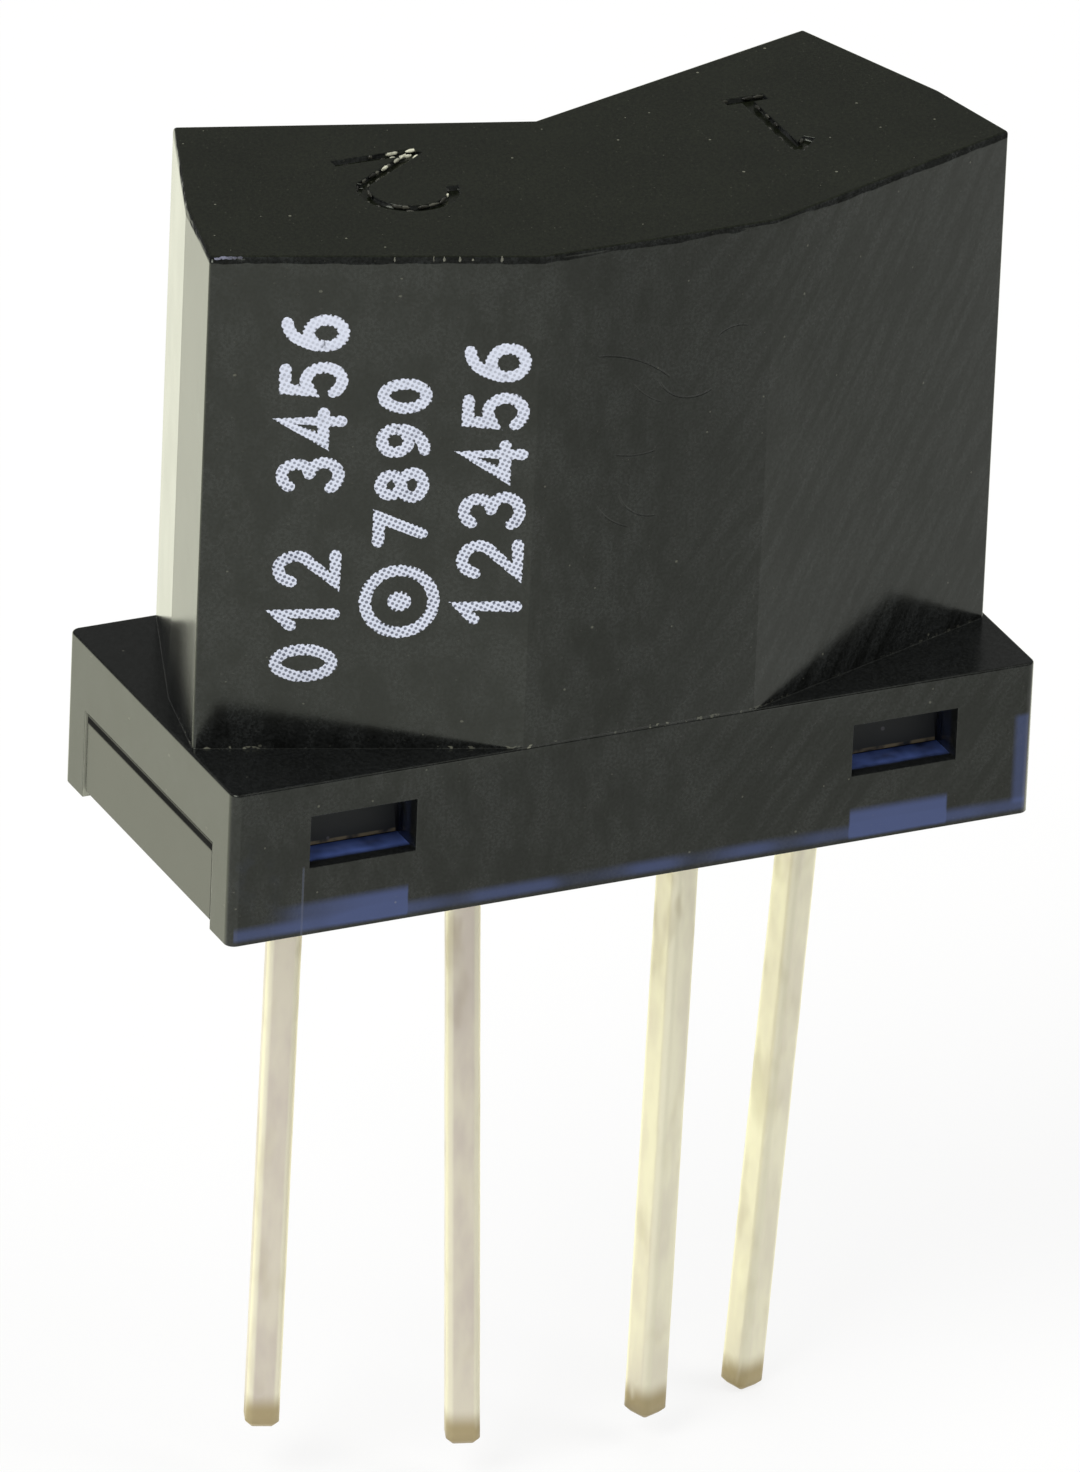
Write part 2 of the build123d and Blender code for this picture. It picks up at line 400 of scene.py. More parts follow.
class BurrSettings(bpy.types.PropertyGroup):
    """What a user would change in the moulding marks."""

    # The burrs' pale colour is a painted glint.
    burr_glint_color: FloatVectorProperty(
        name="Burr colour", description="Colour of the torn edges of the sunk numbers", subtype="COLOR",
        size=3, min=0.0, max=1.0, default=(0.78, 0.78, 0.60),
    )
    # The flash's pale colour is a painted glint.
    flash_glint_color: FloatVectorProperty(
        name="Flash colour", description="Colour of the flash along the top's front edge",
        subtype="COLOR", size=3, min=0.0, max=1.0, default=(0.22, 0.22, 0.17),
    )
    # The nicked corner's pale colour is a painted glint.
    nick_glint_color: FloatVectorProperty(
        name="Nick colour", description="Colour of the nicked corner", subtype="COLOR",
        size=3, min=0.0, max=1.0, default=(0.24, 0.25, 0.34),
    )
    spacing: FloatProperty(
        name="Burr spacing", description="Mean distance between burrs, in metres",
        subtype="DISTANCE", unit="LENGTH", min=0.00002, max=0.002, default=0.00015,
    )


class InsideSettings(bpy.types.PropertyGroup):
    """What a user would change on the two components inside."""

    emitter_color: FloatVectorProperty(
        name="Emitter resin", description="Colour of the emitter's resin", subtype="COLOR",
        size=3, min=0.0, max=1.0, default=(0.55, 0.62, 0.72),
    )
    detector_color: FloatVectorProperty(
        name="Detector resin", description="Colour of the detector's resin", subtype="COLOR",
        size=3, min=0.0, max=1.0, default=(0.03, 0.025, 0.03),
    )
    wire_color: FloatVectorProperty(
        name="Wire colour", description="Colour of the bond wires", subtype="COLOR",
        size=3, min=0.0, max=1.0, default=(0.85, 0.62, 0.25),
    )


class StageSettings(bpy.types.PropertyGroup):
    """What a user would change in the studio."""

    lens: FloatProperty(
        name="Lens", description="Focal length, in millimetres", unit="CAMERA",
        min=10.0, max=2000.0, default=559.5,
    )
    distance: FloatProperty(
        name="Camera distance", description="Distance from the camera to the point it aims at, in metres",
        subtype="DISTANCE", unit="LENGTH", min=0.05, max=5.0, default=0.32868,
    )
    aim: FloatVectorProperty(
        name="Aim", description="The point that the camera aims at, in metres",
        subtype="TRANSLATION", unit="LENGTH", size=3, default=(-0.00088, -0.001512, 0.001801),
    )
    heading: FloatProperty(
        name="Heading", description="How far the camera's view turns from +Y towards +X",
        subtype="ANGLE", unit="ROTATION", default=math.radians(25.75),
    )
    elevation: FloatProperty(
        name="Elevation", description="How far the camera looks down",
        subtype="ANGLE", unit="ROTATION", default=math.radians(26.10),
    )
    roll: FloatProperty(
        name="Roll", description="How far the camera is turned about its view",
        subtype="ANGLE", unit="ROTATION", default=math.radians(2.477),
    )
    world_light: FloatProperty(
        name="World light", description="Even light from the studio's walls",
        min=0.0, max=4.0, default=0.50,
    )
    ceiling: FloatProperty(
        name="Ceiling", description="Brightness of the studio above the floor, as gloss shows it",
        min=0.0, max=4.0, default=0.13,
    )


# How far neighbouring triangles may turn and still count as one flat face, and how close
# corners lie, in metres, that are joined
FLAT_ANGLE = math.radians(0.2)
JOINED_CORNERS = 1e-7


def merged_copy(node):
    """A copy of a CAD node's mesh with its corners joined and its flat faces whole."""
    shape = bmesh.new()
    shape.from_mesh(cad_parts[node].data)
    bmesh.ops.remove_doubles(shape, verts=shape.verts, dist=JOINED_CORNERS)
    bmesh.ops.dissolve_limit(shape, angle_limit=FLAT_ANGLE, verts=shape.verts, edges=shape.edges)
    bmesh.ops.recalc_face_normals(shape, faces=shape.faces)
    mesh = bpy.data.meshes.new(node + "_copy")
    shape.to_mesh(mesh)
    shape.free()
    return mesh


# Scratches on the middle facet, seen from the front: centre (X, Z), radius, the angles in
# degrees that the scratch spans, its width and its depth, all lengths in millimetres
SCRATCHES = (
    ((-1.02, 6.62), 1.84, 44.0, 88.0, 0.014, 0.0100),
    ((0.62, 8.18), 0.60, 200.0, 305.0, 0.014, 0.0090),
    ((0.10, 6.42), 0.62, 195.0, 275.0, 0.013, 0.0070),
    ((-0.05, 6.55), 0.90, 205.0, 255.0, 0.011, 0.0050),
    ((-0.20, 7.95), 1.15, 250.0, 285.0, 0.011, 0.0050),
    ((1.30, 8.10), 0.50, 70.0, 130.0, 0.011, 0.0060),
    ((0.55, 8.60), 1.10, 215.0, 250.0, 0.009, 0.0040),
)


def scratch_depth(shader, x, z):
    """How deep the scratches of the middle facet are, in millimetres."""
    total = None
    for (center_x, center_z), radius, start, end, width, depth in SCRATCHES:
        across = x - center_x
        upward = z - center_z
        reach = (across * across + upward * upward).root()
        middle = math.radians((start + end) / 2)
        half = math.radians((end - start) / 2)
        turned_across = across * math.cos(middle) + upward * math.sin(middle)
        turned_upward = upward * math.cos(middle) - across * math.sin(middle)
        bearing = abs(turned_upward.angle(turned_across))
        line = 1.0 - shader.ramp(abs(reach - radius), width * 0.4, width * 1.4)
        mark = line * (1.0 - shader.ramp(bearing, half * 0.75, half)) * depth
        total = mark if total is None else total + mark
    return total


# Where the flange's long walls are thin enough to look blue, in millimetres. A name with FADE
# holds the two ends of a fade, and the other pairs are the ends of a band.
LEFT_PATCH_START_FADE = (-5.75, -5.05)
LEFT_PATCH_BRIGHTER_FADE = (-5.20, -4.20)
LEFT_PATCH_END_FADE = (-3.56, -3.53)
RIGHT_PATCH_X = (3.47, 4.98)
PATCH_TOP_FADE = (0.42, 0.58)
WALL_FOOT_FADE = (0.03, 0.13)
STRIP_TOP_FADE = (0.17, 0.33)
STRIP_WIDE_MIDDLE_X = -1.8
LEFT_CORNER_FADE = (-6.05, -5.50)
RIGHT_END_FADE = (6.00, 6.12)
RIGHT_END_Z = (0.25, 1.55)
HAZE_Z = (0.45, 1.35)
HAZE_END_FADE = (-3.20, -1.50)


def thin_wall_glow(shader, x, z, place, fine_cloud):
    """Where the flange's long walls are thin enough to look blue: rim, patches and right end."""
    drift = shader.cloud(shader.scaled(place, (1.0, 1.0, 0.4)), 1.5, 1.0)
    foot = shader.ramp(z, *WALL_FOOT_FADE)
    left_patch = shader.ramp(x, *LEFT_PATCH_START_FADE)
    left_patch = left_patch * (1.0 - shader.ramp(x, *LEFT_PATCH_END_FADE))
    left_patch = left_patch * (0.62 + 0.38 * shader.ramp(x, *LEFT_PATCH_BRIGHTER_FADE))
    right_patch = shader.band(x, *RIGHT_PATCH_X, 0.04)
    patches = (left_patch + right_patch) * (1.0 - shader.ramp(z, *PATCH_TOP_FADE)) * foot
    patches = patches * (0.80 + 0.25 * drift)
    near_middle = shader.ramp(abs(x - STRIP_WIDE_MIDDLE_X), 1.2, 0.0)
    wide = shader.ramp(drift + 0.25 * near_middle, 0.36, 0.60)
    corner = 1.0 - shader.ramp(x, *LEFT_CORNER_FADE)
    strip = foot * (1.0 - shader.ramp(z, *STRIP_TOP_FADE))
    strip = strip * (0.20 + 0.50 * (wide + corner).limited())
    end_strip = shader.ramp(x, *RIGHT_END_FADE) * shader.band(z, *RIGHT_END_Z, 0.10) * 0.60
    haze = shader.ramp(drift, 0.50, 0.70) * shader.ramp(fine_cloud, 0.45, 0.65)
    haze = haze * shader.band(z, *HAZE_Z, 0.35) * (1.0 - shader.ramp(x, *HAZE_END_FADE)) * 0.10
    return (patches + strip + end_strip + haze).limited()


# How deep into a slot, from the wall's face, the blue light starts and ends, in millimetres
SLOT_LIGHT_START_FADE = (0.16, 0.30)
SLOT_LIGHT_END_FADE = (0.66, 0.74)


def slot_light(shader, x, y, z, facing_up, fine_cloud):
    """Where blue light gathers inside the snap slots, most of it on their floors."""
    depth = -FRONT_Y - abs(y)
    inside = shader.band(z, SLOT_FLOOR_Z - 0.03, SLOT_TOP_Z, 0.02)
    inside = inside * shader.ramp(depth, *SLOT_LIGHT_START_FADE)
    inside = inside * (1.0 - shader.ramp(depth, *SLOT_LIGHT_END_FADE))
    inside = inside * shader.band(abs(x), SLOT_INNER_X - 0.05, SLOT_OUTER_X + 0.05, 0.02)
    on_floor = 0.08 + 0.92 * shader.ramp(facing_up, 0.4, 0.9)
    return (inside * on_floor * shader.ramp(fine_cloud, 0.0, 0.70)).limited()


# The lean of the right wing's flow streaks, the range of noise that is spread to full contrast,
# and how strongly the flow marks show
STREAK_LEAN = math.radians(53.6)
NOISE_RANGE = (0.28, 0.72)
FLOW_STRENGTH = 0.85


def flow_marks(shader, around, z, leaning):
    """Flow marks about zero: leaning streaks on the right and soft mottle on the left."""
    lean_along = around * math.cos(STREAK_LEAN) + z * math.sin(STREAK_LEAN)
    lean_across = z * math.cos(STREAK_LEAN) - around * math.sin(STREAK_LEAN)
    drawn_out = shader.joined(lean_along * 0.16, lean_across)
    streaks = shader.ramp(shader.cloud(drawn_out, 0.21, 2.0, dimensions="2D"), *NOISE_RANGE)
    upright = shader.joined(around, z * 0.5)
    mottle = shader.ramp(shader.cloud(upright, 0.42, 2.0, 0.6, dimensions="2D"), *NOISE_RANGE)
    return ((streaks - 0.5) * leaning + (mottle - 0.5) * (1.0 - leaning)) * FLOW_STRENGTH


def dust_and_lint(shader, flat, z, side_face, on_top, shade, leaning):
    """How much dust lies on the housing, with lint along the foot of the tower."""
    dust = shader.specks(flat, 0.42, 0.020, 0.10, "2D") * (0.17 + 0.20 * on_top)
    fine_dust = shader.specks(flat, 0.13, 0.011, 0.20, "2D") * (0.04 + 0.06 * on_top)
    foot = shader.band(z, FLANGE_TOP_Z - 0.005, FLANGE_TOP_Z + 0.035, 0.012) * side_face
    lint = foot * shader.ramp(shader.cloud(flat, 0.08, 1.0, dimensions="2D"), 0.60, 0.68)
    lint = lint * shader.ramp(shade, 0.45, 0.60) * (0.42 - 0.34 * leaning)
    return (dust + fine_dust + lint).limited()


# How far below the top the sides start to roll back, and where they are rolled back fully
ROLL_START = 0.120
ROLL_FULL = 0.010


def rolled_edge(shader, z, side_face, fine_cloud, shade):
    """How far the sides roll back just under the top, unevenly, in millimetres."""
    wavy = z + 0.07 * fine_cloud - 0.035
    roll = shader.ramp(wavy, TOP_Z - ROLL_START, TOP_Z - ROLL_FULL) * side_face
    return roll * (0.020 + 0.045 * shader.ramp(shade, 0.35, 0.65))


# Faint rings on the middle facet: their middle (X, Z) and how far apart they are, in millimetres
RINGS_CENTER = (-0.10, 6.90)
RINGS_APART = 0.17


def polishing_rings(shader, x, z, shade):
    """Faint rings left by polishing the mould, from 0 to 1."""
    across = x - RINGS_CENTER[0]
    upward = z - RINGS_CENTER[1]
    reach_squared = across * across + upward * upward
    turns = reach_squared.root() * (2 * math.pi / RINGS_APART)
    rings = shader.ramp((turns + 2.5 * shade).sine(), 0.6, 1.0)
    rings = rings * (1.0 - shader.ramp(reach_squared, 0.5, 1.8))
    return rings * shader.ramp(shade, 0.45, 0.60)


# The upright line left by the mould left of the left slot: its edges along X and its top
WITNESS_X = (-5.215, -5.195)
WITNESS_TOP_FADE = (1.05, 1.12)
WITNESS_COLOR = (0.12, 0.14, 0.22, 1.0)

# The painted highlight on the rim of the notch in the flange's end walls: where it starts
# along X, how far it reaches to both sides of the wall's inner face, and the notch's top
NOTCH_RIM_HIGHLIGHT_COLOR = (0.40, 0.41, 0.33, 1.0)
RIM_START_FADE = (6.22, 6.26)
RIM_HALF_WIDTH = 0.02
NOTCH_TOP_FADE = (1.36, 1.40)

# The parting line at the flange's top: half its width as a fade, and its depth
PARTING_FADE = (0.008, 0.028)
PARTING_DEPTH = 0.012


def housing_material(settings):
    """Dark glossy plastic with flow marks, fine scratches and dust, and painted light: blue where it is
    thin, a sheen on the top and a highlight at the notch's rim.
    """
    material, shader = new_material("housing_infrared_plastic")
    place = shader.place()
    x = shader.axis(place, "X")
    y = shader.axis(place, "Y")
    z = shader.axis(place, "Z")
    facing_up = shader.facing("Z")
    upward = shader.ramp(facing_up, 0.6, 0.95)
    side_face = 1.0 - upward
    on_top = upward * shader.ramp(z, FLANGE_TOP_Z, TOP_Z)
    long_wall = outermost(shader, abs(y), -FRONT_Y) * (1.0 - shader.ramp(z, 2.3, 2.36))
    facet = outermost(shader, -y, -FRONT_Y)
    on_end = outermost(shader, abs(x), END_X)
    around = x + y * 0.6
    flat = shader.mix(upward, shader.joined(around, z), shader.joined(x, y))
    leaning = shader.ramp(x, -0.6, 2.2)
    fine_cloud = shader.cloud(place, 0.30, 1.0)
    grain = shader.cloud(place, 0.045, 1.0)
    shade = shader.cloud(place, 1.3, 1.0)

    flow = flow_marks(shader, around, z, leaning)
    uneven = 1.0 + (shader.ramp(grain, *NOISE_RANGE) - 0.5) * (0.9 - 0.2 * upward)
    tone = (1.0 + flow * side_face) * uneven * (0.70 + 0.60 * shade)
    # Painted sheen: the top takes a greener, slightly darker copy of the plastic's colour.
    color = shader.mix(on_top, rgba(settings.body_color), rgba(settings.top_sheen_color))
    color = shader.scaled(color, shader.joined(tone, tone, tone))
    thin = thin_wall_glow(shader, x, z, place, fine_cloud) * long_wall
    color = shader.mix(thin, color, rgba(settings.thin_color))
    in_slot = slot_light(shader, x, y, z, facing_up, fine_cloud)
    color = shader.mix(in_slot, color, rgba(settings.slot_color))
    # Painted highlight: a pale line on the wall's inner face at the notch's rim.
    rim_highlight = shader.band(y, PASSAGE_Y - RIM_HALF_WIDTH, PASSAGE_Y + RIM_HALF_WIDTH, 0.01)
    rim_highlight = rim_highlight * shader.ramp(abs(x), *RIM_START_FADE) * (1.0 - shader.ramp(z, *NOTCH_TOP_FADE))
    rim_highlight = rim_highlight * shader.ramp(-shader.facing("Y"), 0.5, 0.9)
    color = shader.mix(rim_highlight, color, NOTCH_RIM_HIGHLIGHT_COLOR)
    dirt = dust_and_lint(shader, flat, z, side_face, on_top, shade, leaning)
    color = shader.mix(dirt, color, rgba(settings.dust_color))
    witness = shader.band(x, *WITNESS_X, 0.010) * (1.0 - shader.ramp(z, *WITNESS_TOP_FADE))
    witness = witness * long_wall
    color = shader.mix(witness * 0.30, color, WITNESS_COLOR)

    parting = (1.0 - shader.ramp(abs(z - FLANGE_TOP_Z), *PARTING_FADE)) * PARTING_DEPTH
    rings = polishing_rings(shader, x, z, shade) * 0.0016
    height = fine_cloud * 0.0011 + grain * 0.0003 + witness * 0.004
    height = height + (rings - scratch_depth(shader, x, z) - parting) * facet
    height = height - rolled_edge(shader, z, side_face, fine_cloud, shade)
    height = height - seam_groove(shader, y, z) * on_end
    shader.surface(
        Base_Color=color,
        Roughness=settings.roughness + 0.06 * shade + 0.25 * dirt + upward * 0.04,
        IOR=settings.refraction,
        Specular_Tint=rgba(settings.gloss_tint),
        Normal=shader.bump(height),
    )
    return material


# The seam beside an end block: half its width as a fade, its top and its depth
SEAM_SIDE_FADE = (0.020, 0.050)
SEAM_TOP_FADE = (1.34, 1.40)
SEAM_DEPTH = 0.055


def seam_groove(shader, y, z):
    """How deep the upright seam beside an end block looks, in millimetres."""
    beside = 1.0 - shader.ramp(abs(y + SEAM_Y), *SEAM_SIDE_FADE)
    return beside * (1.0 - shader.ramp(z, *SEAM_TOP_FADE)) * SEAM_DEPTH


def outermost(shader, reach, limit):
    """1 where a distance from the middle is all but at its limit, so on the outermost face."""
    return shader.ramp(reach, limit - 0.02, limit - 0.008)


# Edges that turn by more than this angle are rounded, in so many steps
ROUNDED_ANGLE = math.radians(30.0)
ROUNDING_STEPS = 2


class SENSOR_OT_housing(bpy.types.Operator):
    """Replaces the housing's solid by the same form with fine rounded edges and its plastic"""

    bl_idname = "sensor.housing"
    bl_label = "Dress the housing"

    def execute(self, context):
        settings = context.scene.sensor_housing
        mesh = merged_copy("housing")
        piece = new_piece("housing_shell", mesh, housing_material(settings))
        bevel = piece.modifiers.new("edge_rounding", "BEVEL")
        bevel.width = settings.edge_bevel
        bevel.segments = ROUNDING_STEPS
        bevel.limit_method = "ANGLE"
        bevel.angle_limit = ROUNDED_ANGLE
        bevel.use_clamp_overlap = False
        bevel.harden_normals = True
        mesh.polygons.foreach_set("use_smooth", [True] * len(mesh.polygons))
        weights = piece.modifiers.new("flat_faces", "WEIGHTED_NORMAL")
        weights.keep_sharp = True
        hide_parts("housing")
        return {"FINISHED"}


# The carrier's finish where no setting gives it: inside the housing, on its specks, in its
# gloss and as the painted highlight on the tabs' edges
CARRIER_INSIDE_COLOR = (0.015, 0.016, 0.025, 1.0)
CARRIER_SPECK_COLOR = (0.12, 0.11, 0.14, 1.0)
CARRIER_GLOSS_TINT = (0.96, 1.0, 0.84, 1.0)
TAB_EDGE_HIGHLIGHT_COLOR = (0.20, 0.16, 0.10, 1.0)
CARRIER_REFRACTION = 1.55

# Where an end block starts along X, and the heights over which its top edge looks rounded
END_BLOCK_FADE = (6.20, 6.28)
END_BLOCK_TOP_FADE = (1.19, 1.345)


def carrier_material(settings):
    """Opaque plastic: glossy end blocks, satin elsewhere, and a pale painted highlight along the thin tab
    edges.
    """
    material, shader = new_material("carrier_opaque_plastic")
    place = shader.place()
    x = shader.axis(place, "X")
    y = shader.axis(place, "Y")
    z = shader.axis(place, "Z")
    end_block = shader.ramp(abs(x), *END_BLOCK_FADE)
    shade = shader.cloud(place, 1.4, 3.0)
    lighter = tuple(part * 1.8 for part in settings.color) + (1.0,)
    color = shader.mix(shader.ramp(shade, 0.4, 0.8), rgba(settings.color), lighter)
    color = shader.mix(1.0 - end_block, color, CARRIER_INSIDE_COLOR)
    # Painted highlight: a pale, brownish line along the snap tabs' lower front edges.
    tab_edge = shader.band(abs(y), -TAB_FRONT_Y - 0.03, -TAB_FRONT_Y + 0.01, 0.01)
    tab_edge = tab_edge * shader.band(z, TAB_EDGE_LOW_Z, TAB_EDGE_HIGH_Z, 0.02)
    tab_highlight = tab_edge * shader.ramp(shader.cloud(place, 0.20, 2.0), 0.30, 0.60)
    color = shader.mix(tab_highlight, color, TAB_EDGE_HIGHLIGHT_COLOR)
    specks = shader.specks(place, 0.25, 0.03, 0.5) * (1.0 - end_block)
    color = shader.mix(specks * 0.6, color, CARRIER_SPECK_COLOR)
    height = shader.cloud(place, 0.05, 2.0) * 0.0006 + shader.cloud(place, 0.4, 2.0) * 0.0012
    rounded_top = shader.ramp(z, *END_BLOCK_TOP_FADE) * 0.10
    height = height - (rounded_top + seam_groove(shader, y, z)) * end_block
    shader.surface(
        Base_Color=color,
        Roughness=settings.roughness + 0.06 * shade + 0.35 * (1.0 - end_block),
        IOR=CARRIER_REFRACTION,
        Specular_Tint=CARRIER_GLOSS_TINT,
        Normal=shader.bump(height),
    )
    return material


class SENSOR_OT_carrier(bpy.types.Operator):
    """Gives the carrier its opaque satin plastic"""

    bl_idname = "sensor.carrier"
    bl_label = "Finish the carrier"

    def execute(self, context):
        assign("carrier", carrier_material(context.scene.sensor_carrier))
        return {"FINISHED"}


LEADS = (
    "detector_collector_lead",
    "detector_emitter_lead",
    "emitter_anode_lead",
    "emitter_cathode_lead",
)

# Where the tin changes, in millimetres: from blushed to clean leads along X, below the flange
# along Z, and up from each cut tip
PAIRS_FADE = (0.8, 1.6)
BELOW_FLANGE_FADE = (-2.4, 0.0)
TIP_STAIN_FADE = (0.28, 0.62)


def lead_material(settings):
    """Hot-tinned metal: creamy on its edges as a painted highlight, blotchy, and tarnished at the flange
    and the tips.
    """
    material, shader = new_material("tinned_metal")
    place = shader.place()
    x = shader.axis(place, "X")
    z = shader.axis(place, "Z")
    side = shader.ramp(x, -0.5, 0.5) * 2.0 - 1.0
    # How far a face turns onto a rounded edge, which takes the painted highlight.
    face_x = shader.facing("X", "True Normal")
    face_y = shader.facing("Y", "True Normal")
    first = face_x * math.cos(WING_ANGLE) + side * face_y * math.sin(WING_ANGLE)
    second = face_y * math.cos(WING_ANGLE) - side * face_x * math.sin(WING_ANGLE)
    edge = abs(first * second) * 2.0
    drawn_out = shader.scaled(place, (1.0, 1.0, 0.35))
    blotch = shader.ramp(shader.cloud(drawn_out, 0.60, 3.0, 0.55), 0.36, 0.64)
    smudge = shader.ramp(shader.cloud(drawn_out, 0.42, 2.0, 0.6), 0.50, 0.72)
    more_blush = 1.0 - shader.ramp(x, *PAIRS_FADE)
    blush = (blotch * 0.34 + more_blush * 0.56).limited()
    # Painted highlight: on the rounded edges the blush gives way to the pale tin.
    blush = blush * (1.0 - 0.75 * shader.ramp(edge, 0.15, 0.8))
    color = shader.mix(blush, rgba(settings.tin_and_edge_highlight_color), rgba(settings.blush_color))
    near_flange = shader.ramp(z, *BELOW_FLANGE_FADE)
    from_tip = shader.add("ShaderNodeAttribute", {"attribute_name": "from_tip"}, output="Fac")
    near_tip = 1.0 - shader.ramp(from_tip + 0.25 * smudge, *TIP_STAIN_FADE)
    stain = (smudge * (0.12 + 0.50 * near_flange) + near_tip * 0.90).limited()
    color = shader.mix(stain, color, rgba(settings.stain_color))
    fine = shader.cloud(place, 0.05, 2.0)
    height = shader.cloud(drawn_out, 0.16, 2.0) * 0.004 + fine * 0.0010
    shader.surface(
        Base_Color=color,
        Metallic=settings.metallic,
        Roughness=settings.roughness + 0.12 * smudge + 0.08 * fine,
        Normal=shader.bump(height),
    )
    return material


# The tin's ripples: the longest edge that carries them and the length of a wave across the
# lead, both in millimetres, how often a face may be divided, what a step along the lead counts
# against one across it, and how far apart in the noise the leads are
RIPPLE_EDGE = 0.28
RIPPLE_WAVE = 0.55
MOST_DIVISIONS = 7
RIPPLE_LENGTHWISE = 0.6
RIPPLE_APART = 7.3

# Edges of a lead that turn more than this stay sharp
SHARP_LEAD_ANGLE = math.radians(50.0)


def tinned(mesh, ripple, seed):
    """Divides a lead's faces and presses soft ripples into the tin."""
    shape = bmesh.new()
    shape.from_mesh(mesh)
    bmesh.ops.triangulate(shape, faces=shape.faces)
    for _ in range(MOST_DIVISIONS):
        long_edges = [edge for edge in shape.edges if edge.calc_length() > RIPPLE_EDGE * MM]
        if not long_edges:
            break
        bmesh.ops.subdivide_edges(shape, edges=long_edges, cuts=1)
        bmesh.ops.triangulate(shape, faces=shape.faces)
    shape.normal_update()
    from_tip = shape.verts.layers.float.new("from_tip")
    lowest = min(vert.co.z for vert in shape.verts)
    for vert in shape.verts:
        vert[from_tip] = (vert.co.z - lowest) / MM
        wave = vert.co / (RIPPLE_WAVE * MM) + Vector((seed, 0.0, 0.0))
        wave.z *= RIPPLE_LENGTHWISE
        depth = 0.5 + 0.5 * noise.noise(wave)
        vert.co -= vert.normal * (ripple * depth)
    shape.to_mesh(mesh)
    shape.free()


class SENSOR_OT_leads(bpy.types.Operator):
    """Replaces the four leads by the same forms with rippled tin"""

    bl_idname = "sensor.leads"
    bl_label = "Tin the leads"

    def execute(self, context):
        settings = context.scene.sensor_leads
        material = lead_material(settings)
        for seed, node in enumerate(LEADS):
            mesh = merged_copy(node)
            tinned(mesh, settings.ripple, RIPPLE_APART * seed)
            piece = new_piece(node + "_tinned", mesh, material)
            mesh.polygons.foreach_set("use_smooth", [True] * len(mesh.polygons))
            mesh.set_sharp_from_angle(angle=SHARP_LEAD_ANGLE)
            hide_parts(node)
        return {"FINISHED"}


# The components inside: the resin's refractive index, the chips' colours and the metal bars on
# them, and how far apart the bars are in millimetres
RESIN_REFRACTION = 1.54
EMITTER_CHIP_COLOR = (0.25, 0.22, 0.24)
DETECTOR_CHIP_COLOR = (0.12, 0.13, 0.20)
CHIP_METAL_COLOR = (0.80, 0.72, 0.50, 1.0)
EMITTER_BAR_PITCH = 0.12
DETECTOR_BAR_PITCH = 0.32


def resin_material(name, color, depth):
    """Cast resin with darker flow marks, as dark as depth says, and a soft skin."""
    material, shader = new_material(name)
    place = shader.place()
    flow = shader.cloud(place, 1.1, 3.0, 0.5, 0.6)
    darker = tuple(part * depth for part in color) + (1.0,)
    mixed = shader.mix(shader.ramp(flow, 0.3, 0.8), rgba(color), darker)
    height = shader.cloud(place, 0.35, 2.0) * 0.0012 + shader.cloud(place, 0.04, 1.0) * 0.0002
    shader.surface(
        Base_Color=mixed, Roughness=0.12 + 0.10 * flow, IOR=RESIN_REFRACTION, Normal=shader.bump(height),
    )
    return material


def chip_material(name, color, pitch):
    """Bare semiconductor with metal bars across its face."""
    material, shader = new_material(name)
    place = shader.place()
    bars = shader.ramp((shader.axis(place, "Z") * (2 * math.pi / pitch)).sine(), 0.80, 0.95)
    mixed = shader.mix(bars, rgba(color), CHIP_METAL_COLOR)
    height = bars * 0.001 + shader.cloud(place, 0.02, 1.0) * 0.0002
    shader.surface(
        Base_Color=mixed,
        Metallic=0.3 + 0.7 * bars,
        Roughness=0.22 + 0.15 * shader.cloud(place, 0.1, 2.0),
        Normal=shader.bump(height),
    )
    return material


def wire_material(color):
    """Drawn gold with fine lines along it."""
    material, shader = new_material("gold_bond_wire")
    place = shader.place()
    streak = shader.cloud(shader.scaled(place, (6.0, 6.0, 30.0)), 0.6, 2.0)
    darker = tuple(part * 0.75 for part in color) + (1.0,)
    mixed = shader.mix(streak, rgba(color), darker)
    shader.surface(
        Base_Color=mixed,
        Metallic=1.0,
        Roughness=0.18 + 0.15 * streak,
        Normal=shader.bump(streak * 0.0003),
    )
    return material


class SENSOR_OT_components(bpy.types.Operator):
    """Gives the two components inside their resin, chips and wires"""

    bl_idname = "sensor.components"
    bl_label = "Finish the components"

    def execute(self, context):
        settings = context.scene.sensor_inside
        clear = resin_material("emitter_clear_resin", settings.emitter_color, 0.80)
        dark = resin_material("detector_dark_resin", settings.detector_color, 0.55)
        emitter = chip_material("emitter_chip_face", EMITTER_CHIP_COLOR, EMITTER_BAR_PITCH)
        detector = chip_material("detector_chip_face", DETECTOR_CHIP_COLOR, DETECTOR_BAR_PITCH)
        assign("emitter_package", clear)
        assign("detector_package", dark)
        assign("emitter_die", emitter)
        assign("detector_die", detector)
        wire = wire_material(settings.wire_color)
        for node in ("emitter_bond_wire", "detector_bond_wire"):
            assign(node, wire)
        return {"FINISHED"}


def arc(center, radii, start, end, step=12.0):
    """Points along an elliptical arc, from one angle in degrees to another."""
    count = max(2, round(abs(end - start) / step))
    angles = [math.radians(start + (end - start) * index / count) for index in range(count + 1)]
    return [(center[0] + radii[0] * math.cos(a), center[1] + radii[1] * math.sin(a)) for a in angles]


